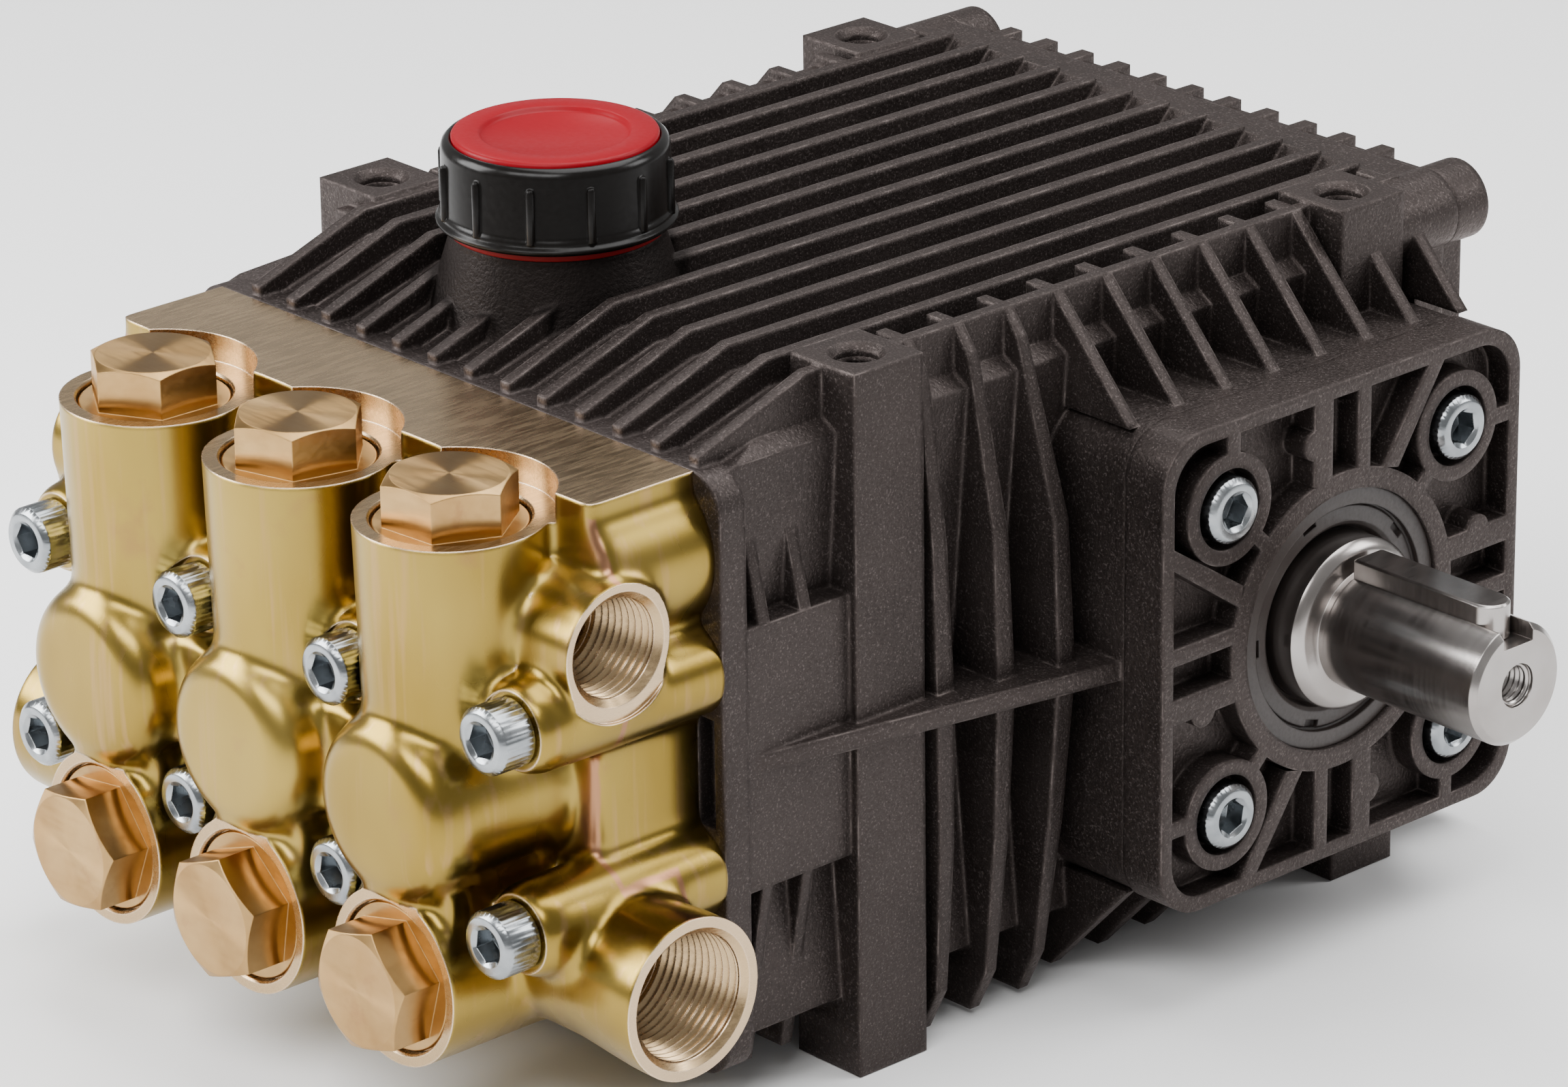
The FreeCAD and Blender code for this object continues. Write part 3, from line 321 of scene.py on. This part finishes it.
def assign_materials():
    """Give every CAD node its finish by the record's material slot."""
    finishes = {
        "cast_case": cast_alloy(),
        "forged_brass": forged_brass(),
        "turned_brass": turned_brass("turned_brass", "Z"),
        "zinc_screw": zinc(),
        "ground_steel": ground_steel(),
        "black_rubber": moulded("black_rubber", (0.028, 0.0200, 0.0175), 0.46, 1400.0, 0.15),
        # the red rubber is painted darker than its own red, a painted shade under the cap's lip
        "red_rubber": moulded("red_rubber", (0.20, 0.003, 0.005), 0.5, Specular_IOR_Level=0.2),
        "black_plastic": moulded("black_plastic", (0.004, 0.0032, 0.0027), 0.22,
                                 Specular_IOR_Level=0.22),
        "red_plastic": moulded("red_plastic", (0.22, 0.0002, 0.006), 0.34, Specular_IOR_Level=0.15),
        "clear_glass": sight_glass(),
    }
    finishes["cast_cover"] = finishes["cast_case"]
    slots = {part["node"]: part["material_slot"] for part in frame["record"]["subparts"]}
    for name, node in frame["nodes"].items():
        node.data.materials.clear()
        node.data.materials.append(finishes[slots[name]])
    # the retaining ring looks as dark as the seal that it holds
    frame["nodes"]["retaining_ring"].data.materials[0] = finishes["black_rubber"]
    return finishes


# Shapes in millimetres

FLUTES = 36


def span(axis):
    """The two directions across an axis, for turning a profile round it."""
    across = Vector((1, 0, 0)) if abs(axis.x) < 0.9 else Vector((0, 1, 0))
    second = axis.cross(across).normalized()
    return second.cross(axis), second


def fluted(angle, radius, height):
    """A ring with fine grooves."""
    return radius - 0.05 * (1 - math.cos(FLUTES * angle)), height


def hexed(angle, radius, height):
    """A hexagonal ring; the radius is half its width across the flats."""
    return radius / math.cos(angle % (math.pi / 3) - math.pi / 6), height


def hexed_lower(angle, radius, height):
    """A hexagonal ring whose corners sink below its flats, as a cone cuts them."""
    corner = hexed(angle, radius, height)[0]
    return corner, height - 0.15 - 0.5 * (corner - radius)


def bridge(bm, rings, steps):
    """Skin each ring of corners to the next; a ring of one corner closes the surface."""
    for low, high in zip(rings, rings[1:]):
        for step in range(steps):
            following = (step + 1) % steps
            corners = [low[step % len(low)], low[following % len(low)],
                       high[following % len(high)], high[step % len(high)]]
            corners = list(dict.fromkeys(corners))
            if len(corners) > 2:
                bm.faces.new(corners)


def lathe(bm, profile, foot, axis, steps=64, turned=0.0):
    """Turn a profile of (radius, height) pairs round an axis; a third entry reshapes that ring.

    The surface closes on the axis where the radius is 0.
    """
    foot, axis = Vector(foot), Vector(axis)
    first, second = span(axis)
    rings = []
    for radius, height, *form in profile:
        if radius < 1e-6:
            rings.append([bm.verts.new((foot + axis * height) * MM)])
            continue
        ring = []
        for step in range(steps):
            angle = math.tau * step / steps
            reach, level = form[0](angle, radius, height) if form else (radius, height)
            out = first * math.cos(angle + turned) + second * math.sin(angle + turned)
            ring.append(bm.verts.new((foot + axis * level + out * reach) * MM))
        rings.append(ring)
    bridge(bm, rings, steps)


def rod(bm, radius, foot, axis, length, end_radius=None):
    """A cylinder, or a cone where its end has another radius."""
    end_radius = radius if end_radius is None else end_radius
    lathe(bm, [(0, 0), (radius, 0), (end_radius, length), (0, length)], foot, axis)


def block(bm, low, high):
    """A box between two corners."""
    size = [b - a for a, b in zip(low, high)]
    middle = [(a + b) / 2 for a, b in zip(low, high)]
    place = Matrix.Translation(Vector(middle) * MM) @ Matrix.Diagonal((*(s * MM for s in size), 1.0))
    bmesh.ops.create_cube(bm, size=1.0, matrix=place)


def thing_from(name, bm, material):
    """Turn a finished bmesh into an object, its faces looking outwards."""
    bmesh.ops.recalc_face_normals(bm, faces=bm.faces)
    mesh = bpy.data.meshes.new(name)
    bm.to_mesh(mesh)
    bm.free()
    mesh.materials.append(material)
    thing = bpy.data.objects.new(name, mesh)
    bpy.context.collection.objects.link(thing)
    return thing


def bake(thing, helpers):
    """Apply the modifiers and drop the helpers that they used."""
    graph = bpy.context.evaluated_depsgraph_get()
    mesh = bpy.data.meshes.new_from_object(thing.evaluated_get(graph))
    thing.modifiers.clear()
    thing.data = mesh
    for helper in helpers:
        bpy.data.objects.remove(helper)


def carve(thing, cutter):
    """Take the cutter away from the thing; cut faces keep the cutter's material."""
    machine = thing.modifiers.new(cutter.name, "BOOLEAN")
    machine.operation = "DIFFERENCE"
    machine.solver = "EXACT"
    machine.material_mode = "TRANSFER"
    machine.object = cutter


def stand_for(thing, node, body):
    """Show the thing in place of one CAD node."""
    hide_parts(node)
    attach(thing, body)


def shade(thing, angle):
    """Smooth shading with sharp edges above the angle."""
    for face in thing.data.polygons:
        face.use_smooth = True
    thing.data.set_sharp_from_angle(angle=math.radians(angle))


# The forged head, with the soft blends that a forging has

PITCH = 42.7
BACK, FRONT = -103.4, -127.8
AXIS_Z, SUCTION_Z = 70.0, 36.8
VALVE_Y, VALVE_TOP = -139.2, 122.2
BLOCK_HALF, BLOCK_FOOT, BLOCK_TOP = 67.4, 23.0, 127.7
SCREWS = [(x, z) for z in (89.6, 50.0) for x in (-66.1, -22.0, 22.0, 66.1)]
SEAT_Y = -145.5
DOME_Y = -160.0
LOWER_Y = -156.0
# how deep the plugs' flanges lie below the spot faces
RECESS = 2.2
# what the blank has to spare on the faces that are machined later
STOCK = 4
OUTLET = {"y": -128.0, "z": 102.5, "face": 74.6, "radius": 12.0, "bore": 9.3}
INLET = {"y": -126.0, "z": 39.0, "face": 90.6, "radius": 15.5, "bore": 12.1}
# the radii of the inlet's neck and collar, and where the cone between them lies
NECK, COLLAR = 14.4, 15.6
CONE_START, CONE_LENGTH = 70.0, 15.6


def head_blank(skin):
    """The overlapping masses of the forging, each a little proud where it is machined later."""
    bm = bmesh.new()
    block(bm, (-BLOCK_HALF, FRONT, BLOCK_FOOT), (BLOCK_HALF, BACK + STOCK, BLOCK_TOP + STOCK))
    nose = [(0, 0), (9.0, 0.1), (12.8, 0.35), (15.2, 1.2), (17.1, 3.3), (18.2, 6.8), (18.4, 9.0),
            (18.4, 36.0), (0, 36.0)]
    for column in (-1, 0, 1):
        x = PITCH * column
        rod(bm, 16.6, (x, VALVE_Y, AXIS_Z), (0, 0, 1), VALVE_TOP + STOCK - AXIS_Z, 17.9)
        lathe(bm, nose, (x, DOME_Y, AXIS_Z), (0, 1, 0))
        rod(bm, 17.0, (x, LOWER_Y - 3, SUCTION_Z), (0, 1, 0), 35.0)
        block(bm, (x - 13.0, -153.0, SUCTION_Z), (x + 13.0, FRONT + 2, AXIS_Z))
    for sign in (-1, 1):
        axis = (sign, 0, 0)
        rod(bm, 16.2, (56.8 * sign, FRONT, 111.4), (0, 1, 0), BACK + STOCK - FRONT)
        rod(bm, OUTLET["radius"] + 0.2, (PITCH * sign, OUTLET["y"], OUTLET["z"]), axis,
            OUTLET["face"] + 3 - PITCH)
        inlet = (INLET["y"], INLET["z"])
        rod(bm, NECK, (PITCH * sign, *inlet), axis, CONE_START - PITCH)
        rod(bm, NECK, (CONE_START * sign, *inlet), axis, CONE_LENGTH, COLLAR)
        rod(bm, COLLAR, ((CONE_START + CONE_LENGTH) * sign, *inlet), axis, 8.0)
    tall = BACK + STOCK - SEAT_Y + 2
    boss = [(0, 0), (5.6, 0), (7.6, 1.5), (8.7, 3.2), (9.1, 5.0), (9.1, tall), (0, tall)]
    for x, z in SCREWS:
        lathe(bm, boss, (x, SEAT_Y - 2, z), (0, 1, 0))
    # the webs between the columns, under the upper screws
    block(bm, (-PITCH, -150.0, 59.0), (PITCH, FRONT + 2, 81.5))
    return thing_from("head_forging", bm, skin)


def thread(bore, depth, pitch=1.814, deep=1.1):
    """The wall of a thread as (radius, height) pairs, from the bottom to the mouth."""
    wall = []
    turns = int(depth / pitch)
    for turn in range(turns):
        height = -depth + turn * pitch
        wall += [(bore, height), (bore + deep, height + pitch / 2)]
    return wall


def at_port(bm, profile, port, sign, steps=64):
    """Turn a cutter's profile round a port's axis; height 0 is the port's face."""
    lathe(bm, profile, (port["face"] * sign, port["y"], port["z"]), (sign, 0, 0), steps)


def planes(cut):
    """Flat cutters: the mating face, and the machined top with the four port faces."""
    bm = bmesh.new()
    block(bm, (-120, BACK, -20), (120, BACK + 20, 160))
    back = thing_from("cut_back", bm, cut)
    bm = bmesh.new()
    block(bm, (-70, -136, BLOCK_TOP), (70, -90, 150))
    for sign in (-1, 1):
        for port in (OUTLET, INLET):
            reach = port["radius"] + 1.6
            at_port(bm, [(0, 0), (reach, 0), (reach, 8), (0, 8)], port, sign)
    return [back, thing_from("cut_flat", bm, cut)]


def spot_face(radius):
    """The profile of a spot face with the recess of a plug's flange in its middle."""
    return [(0, -RECESS), (14.6, -RECESS), (14.6, -0.4), (15.0, 0), (radius, 0), (radius, 12), (0, 12)]


def seats(skin, seat):
    """Turned cutters: spot faces with plug recesses, screw seats and threaded ports."""
    bm = bmesh.new()
    for column in (-1, 0, 1):
        x = PITCH * column
        lathe(bm, spot_face(19.3), (x, VALVE_Y, VALVE_TOP), (0, 0, 1))
        lathe(bm, spot_face(17.6), (x, LOWER_Y, SUCTION_Z), (0, -1, 0))
    spots = thing_from("cut_spots", bm, seat)
    bm = bmesh.new()
    for x, z in SCREWS:
        lathe(bm, [(0, 0), (7.3, 0), (7.5, 0.3), (7.5, 9), (0, 9)], (x, SEAT_Y, z), (0, -1, 0))
    sinks = thing_from("cut_screw_seats", bm, skin)
    # the ports' walls take the darker machined brass, a painted shade inside the bores
    bm = bmesh.new()
    for sign in (-1, 1):
        for port, depth in ((OUTLET, 17.0), (INLET, 22.0)):
            bore = port["bore"]
            bottom = [(0, -depth - 1), (bore, -depth - 1)]
            mouth = [(bore, -1.4), (bore + 1.5, 0.02), (bore + 1.5, 3), (0, 3)]
            at_port(bm, bottom + thread(bore, depth) + mouth, port, sign, 96)
    return [spots, sinks, thing_from("cut_ports", bm, seat)]


def head(skin, cut, seat):
    """Melt the masses together, machine them and stand the result for the head."""
    thing = head_blank(skin)
    remesh = thing.modifiers.new("melt", "REMESH")
    remesh.mode = "VOXEL"
    remesh.voxel_size = 1.05 * MM
    soften = thing.modifiers.new("blend", "SMOOTH")
    soften.factor = 0.5
    soften.iterations = 14
    cutters = planes(cut) + seats(skin, seat)
    for cutter in cutters:
        carve(thing, cutter)
    bake(thing, cutters)
    shade(thing, 34)
    stand_for(thing, "manifold", "pump")


# Fasteners, plugs and the drive end

# how far each plug's hexagon is turned, in degrees, from left to right
UPPER_TURN = (28.0, 16.0, 5.0)
LOWER_TURN = (8.0, 20.0, 14.0)
CRANK_Y = 31.2
HOUSING_END = 90.0
# where the screw heads of the two side covers stand, and how far from the crank's axis
DRIVE_SEAT, CLOSED_SEAT = HOUSING_END + 4.1, -HOUSING_END - 6.0
BOLT = 31.0
# the rear cover's screw heads: their place, and their width and height beside the others'
REAR_X, REAR_SEAT, REAR_ROWS = 67.6, 89.9, {"high": 130.6, "low": 13.4}
REAR_SCALE = (5.0 / 6.5, 6.0 / 8.0)
SHAFT_TIP = 144.8
# the keyway's inner end and its floor
KEY_START, KEY_FLOOR = 106.2, AXIS_Z + 8.0


def screw_head(node, foot, axis, material, turned=0.0, across=1.0, tall=1.0):
    """A socket head with a fluted rim in place of one plain CAD head."""
    bm = bmesh.new()
    profile = [(0, 0), (5.9, 0), (6.35, 0.4), (6.5, 0.6, fluted), (6.5, 6.7, fluted), (6.4, 7.0),
               (5.55, 7.85), (5.3, 8.0), (4.0, 8.0), (3.6, 7.7), (3.0, 7.4, hexed), (3.0, 3.4, hexed),
               (0, 2.6)]
    scaled = [(radius * across, height * tall, *form) for radius, height, *form in profile]
    lathe(bm, scaled, foot, axis, 144, turned)
    thing = thing_from(f"{node}_head", bm, material)
    shade(thing, 32)
    stand_for(thing, node, "pump")


def screws(material):
    """The screw heads of the valve head and of the three covers, each turned differently."""
    rows = ("high_1", "high_2", "high_3", "high_4", "low_1", "low_2", "low_3", "low_4")
    for count, (row, (x, z)) in enumerate(zip(rows, SCREWS)):
        screw_head(f"manifold_screw_{row}", (x, SEAT_Y, z), (0, -1, 0), material, 1.1 * count)
    corners = {"front_high": (-1, 1), "rear_high": (1, 1), "front_low": (-1, -1), "rear_low": (1, -1)}
    for count, (row, (along, level)) in enumerate(corners.items()):
        y, z = CRANK_Y + BOLT * along, AXIS_Z + BOLT * level
        screw_head(f"drive_cover_screw_{row}", (DRIVE_SEAT, y, z), (1, 0, 0), material, 0.7 * count)
        screw_head(f"closed_cover_screw_{row}", (CLOSED_SEAT, y, z), (-1, 0, 0), material, 0.9 * count)
    for label, sign in (("left", -1), ("right", 1)):
        for level, z in REAR_ROWS.items():
            screw_head(f"rear_cover_screw_{label}_{level}", (REAR_X * sign, REAR_SEAT, z), (0, 1, 0),
                       material, 0.5 * sign, *REAR_SCALE)


def plug(node, foot, axis, height, turned, material):
    """A hexagon plug with a washer face and coned corners."""
    bm = bmesh.new()
    lathe(bm, [(0, 0), (14.3, 0), (14.3, 1.05), (13.95, 1.4), (11.0, 1.4, hexed),
               (11.0, height, hexed_lower), (10.7, height), (0, height)], foot, axis, 72, turned)
    thing = thing_from(f"{node}_hex", bm, material)
    shade(thing, 25)
    stand_for(thing, node, "pump")


def plugs(upper, lower):
    """The three upper plugs and the three lower ones, in their recesses."""
    for column in range(3):
        x = PITCH * (column - 1)
        plug(f"discharge_plug_{column + 1}", (x, VALVE_Y, VALVE_TOP - RECESS), (0, 0, 1), 10.2,
             math.radians(UPPER_TURN[column]), upper)
        plug(f"suction_plug_{column + 1}", (x, LOWER_Y + RECESS, SUCTION_Z), (0, -1, 0), 10.6,
             math.radians(LOWER_TURN[column]), lower)


def shaft(steel):
    """The shaft with its chamfers, relief groove, keyway and threaded centre."""
    foot, axis = (HOUSING_END, CRANK_Y, AXIS_Z), (1, 0, 0)
    bm = bmesh.new()
    lathe(bm, [(0, -14), (17.0, -14), (17.0, 12.9), (16.75, 13.3), (15.4, 14.45), (14.6, 14.6),
               (12.3, 14.6), (11.7, 14.9), (11.7, 16.2), (12.0, 16.6), (12.0, 53.6), (10.9, 54.8),
               (0, 54.8)], foot, axis, 128)
    thing = thing_from("shaft_end", bm, steel)
    bm = bmesh.new()
    block(bm, (KEY_START, CRANK_Y - 4.0, KEY_FLOOR), (150.0, CRANK_Y + 4.0, AXIS_Z + 20.0))
    slot = thing_from("cut_keyway", bm, steel)
    bm = bmesh.new()
    bore, depth = 3.4, 20.0
    mouth = [(bore, -1.6), (4.3, -0.6), (4.3, 1.0), (0, 1.0)]
    lathe(bm, [(0, -depth - 1), (bore, -depth)] + thread(bore, depth, 1.25, 0.6) + mouth,
          (SHAFT_TIP, CRANK_Y, AXIS_Z), axis, 48)
    hole = thing_from("cut_centre", bm, steel)
    for cutter in (slot, hole):
        carve(thing, cutter)
    bake(thing, (slot, hole))
    shade(thing, 30)
    stand_for(thing, "crankshaft", "crankshaft")


def key(steel):
    """The parallel key, its end rounded and its edges broken."""
    bm = bmesh.new()
    half, low, high = 3.95, KEY_FLOOR, AXIS_Z + 15.2
    middle, nose = 120.0, 137.25
    outline = [(KEY_START, half - 0.4), (KEY_START + 0.4, half)]
    outline += [(nose + half * math.sin(math.radians(a)), half * math.cos(math.radians(a)))
                for a in range(0, 181, 9)]
    outline += [(KEY_START + 0.4, -half), (KEY_START, -half + 0.4)]
    rings = []
    for level, inset in ((low, 0.3), (low + 0.3, 0.0), (high - 0.4, 0.0), (high, 0.4)):
        ring = []
        for x, y in outline:
            inward = -inset if x > middle else inset
            corner = Vector((x + inward, CRANK_Y + y * (1 - inset / half), level))
            ring.append(bm.verts.new(corner * MM))
        rings.append(ring)
    bridge(bm, rings, len(outline))
    bm.faces.new(rings[0])
    bm.faces.new(rings[-1])
    thing = thing_from("key_body", bm, steel)
    shade(thing, 30)
    stand_for(thing, "shaft_key", "crankshaft")


def seal(rubber):
    """The shaft seal with a dust lip, a stepped face and five notches."""
    foot, axis = (HOUSING_END + 1.0, CRANK_Y, AXIS_Z), (1, 0, 0)
    bm = bmesh.new()
    lathe(bm, [(17.05, 0), (25.95, 0), (25.95, 6.2), (25.2, 7.0), (22.8, 7.0), (22.5, 6.5),
               (22.2, 6.5), (21.9, 7.0), (18.9, 7.0), (18.1, 6.4), (17.4, 4.6), (17.05, 4.4),
               (17.05, 0)], foot, axis, 128)
    thing = thing_from("seal_ring", bm, rubber)
    bm = bmesh.new()
    outwards = Matrix.Translation((7 * MM, 0, 21.3 * MM))
    size = Matrix.Diagonal((2.4 * MM, 3.6 * MM, 1.6 * MM, 1.0))
    for step in range(5):
        angle = math.radians(72 * step + 20)
        turn = Matrix.Translation(Vector(foot) * MM) @ Matrix.Rotation(angle, 4, "X")
        bmesh.ops.create_cube(bm, size=1.0, matrix=turn @ outwards @ size)
    notches = thing_from("cut_notches", bm, rubber)
    carve(thing, notches)
    bake(thing, (notches,))
    shade(thing, 30)
    stand_for(thing, "shaft_seal", "pump")


# Filler cap

GRIPS, GRIP_CIRCLE = 12, 21.85
# how high the disc lies above the cap's foot
DISC_FOOT = 15.2


def cap(black, red):
    """The cap with its thin lip and rounded grips, and the dished disc on top."""
    foot, axis = (CAP_X, CAP_Y, CAP_Z), (0, 0, 1)
    bm = bmesh.new()
    lathe(bm, [(0, 0), (22.4, 0), (22.9, 0.5), (22.9, 1.0), (22.5, 1.4), (22.2, 1.7), (22.2, 2.3),
               (21.9, 2.7), (21.75, 3.2), (21.6, 14.6), (21.3, 15.6), (20.6, 16.3), (20.1, 16.45),
               (19.8, 16.3), (19.7, 15.9), (19.7, DISC_FOOT), (0, DISC_FOOT)], foot, axis, 128)
    for step in range(GRIPS):
        angle = math.tau * (step + 0.22) / GRIPS
        place = (CAP_X + GRIP_CIRCLE * math.cos(angle), CAP_Y + GRIP_CIRCLE * math.sin(angle), CAP_Z)
        lathe(bm, [(0, 2.0), (0.85, 2.0), (0.85, 12.0), (0.6, 12.7), (0, 12.9)], place, axis, 16)
    thing = thing_from("cap_ring", bm, black)
    shade(thing, 40)
    stand_for(thing, "filler_cap", "pump")
    bm = bmesh.new()
    lathe(bm, [(0, DISC_FOOT), (19.6, DISC_FOOT), (19.6, 16.7), (19.4, 17.05), (19.0, 17.2),
               (14.6, 17.2), (14.2, 17.05), (13.95, 16.5), (13.5, 16.25), (0, 16.3)], foot, axis, 128)
    disc = thing_from("cap_disc", bm, red)
    shade(disc, 50)
    stand_for(disc, "filler_cap_disc", "pump")


# Threads inside the post holes

POST_X, POST_Y, POST_TOP = 67.5, 63.5, 140.0


def post_threads(material):
    """Thin threaded sleeves just inside both ends of the posts' holes."""
    bm = bmesh.new()
    wall = [(radius - 0.35, height) for radius, height in thread(4.2, 18.0, 1.5, 0.5)]
    # the height of an end, the way it faces, and where its thread begins below it
    ends = ((POST_TOP, 1, -1.5), (0.0, -1, -0.3))
    for x in (-POST_X, POST_X):
        for y in (-POST_Y, POST_Y):
            for z, sign, start in ends:
                kept = [(radius, height) for radius, height in wall if height < start]
                lathe(bm, kept, (x, y, z), (0, 0, sign), 32)
    thing = thing_from("post_threads", bm, material)
    shade(thing, 20)
    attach(thing, "pump")


# Stage, light and camera

def stage():
    """A wide white floor just below the feet."""
    floor = bpy.data.meshes.new("floor")
    half = 6.0
    corners = [(-half, -half, 0), (half, -half, 0), (half, half, 0), (-half, half, 0)]
    floor.from_pydata(corners, [], [(0, 1, 2, 3)])
    thing = bpy.data.objects.new("floor", floor)
    bpy.context.collection.objects.link(thing)
    paint = Paint("floor", (0.96, 0.96, 0.96), 0.0, 0.9)
    thing.data.materials.append(paint.material)
    thing.location.z = -0.2 * MM


def area_light(name, place, target, size, power):
    """A white panel that looks at its target; the power is in watts."""
    data = bpy.data.lights.new(name, "AREA")
    data.shape = "RECTANGLE"
    data.size, data.size_y = size
    data.energy = power
    lamp = bpy.data.objects.new(name, data)
    lamp.location = place
    lamp.rotation_euler = (Vector(target) - Vector(place)).to_track_quat("-Z", "Y").to_euler()
    bpy.context.collection.objects.link(lamp)


def light():
    """A dim pale room with soft panels overhead, in front, at the left, on the drive side and behind."""
    world = bpy.data.worlds.new("studio")
    world.use_nodes = True
    bpy.context.scene.world = world
    background = world.node_tree.nodes["Background"]
    background.inputs["Color"].default_value = (1.0, 1.0, 1.0, 1.0)
    background.inputs["Strength"].default_value = 0.42
    middle = (0.0, 0.0, 0.07)
    area_light("overhead", (0.1, 0.3, 1.3), middle, (1.2, 1.2), 25.0)
    area_light("front", (0.35, -0.85, 0.95), middle, (1.0, 0.4), 11.0)
    area_light("left", (-0.55, -0.6, 0.5), middle, (0.5, 0.5), 11.0)
    area_light("side", (0.9, 1.1, 0.8), (0.4, 0.3, 0.0), (0.6, 0.6), 9.0)
    area_light("back", (-1.02, 0.38, 1.1), middle, (0.2, 0.2), 1.6)


def camera():
    """The photograph's viewing angle and framing, solved from points marked in it."""
    width, height = 2302, 1596
    focal, across, down = 10716.626, 1233.467, 836.724
    place = Vector((976.508, -904.217, 601.443))
    azimuth, elevation, roll = (math.radians(a) for a in (47.391, 22.148, -0.569))
    back = Vector((math.sin(azimuth) * math.cos(elevation), -math.cos(azimuth) * math.cos(elevation),
                   math.sin(elevation)))
    level = Vector((math.cos(azimuth), math.sin(azimuth), 0.0))
    upright = back.cross(level)
    right = level * math.cos(roll) + upright * math.sin(roll)
    up = upright * math.cos(roll) - level * math.sin(roll)
    sensor = 36.0
    data = bpy.data.cameras.new("camera")
    data.sensor_width = sensor
    data.lens = sensor * focal / width
    data.shift_x = (width / 2 - across) / width
    data.shift_y = (down - height / 2) / width
    data.clip_start = 0.05
    data.clip_end = 50.0
    eye = bpy.data.objects.new("camera", data)
    turn = Matrix((right, up, back)).transposed().to_4x4()
    eye.matrix_world = Matrix.Translation(place * MM) @ turn
    bpy.context.collection.objects.link(eye)
    bpy.context.scene.camera = eye


finishes = assign_materials()
cut_brass = machined_brass("machined_brass", (0.60, 0.44, 0.27))
# darker machined brass for the spot faces, and as painted shade inside the threaded ports
spot_and_port_shade_brass = machined_brass("machined_spot_and_port_shade", (0.50, 0.35, 0.19))
head(finishes["forged_brass"], cut_brass, spot_and_port_shade_brass)
plugs(finishes["turned_brass"], turned_brass("turned_brass_front", "Y"))
screws(finishes["zinc_screw"])
shaft(finishes["ground_steel"])
key(finishes["ground_steel"])
seal(finishes["black_rubber"])
cap(finishes["black_plastic"], finishes["red_plastic"])
post_threads(finishes["cast_case"])
stage()
light()
camera()
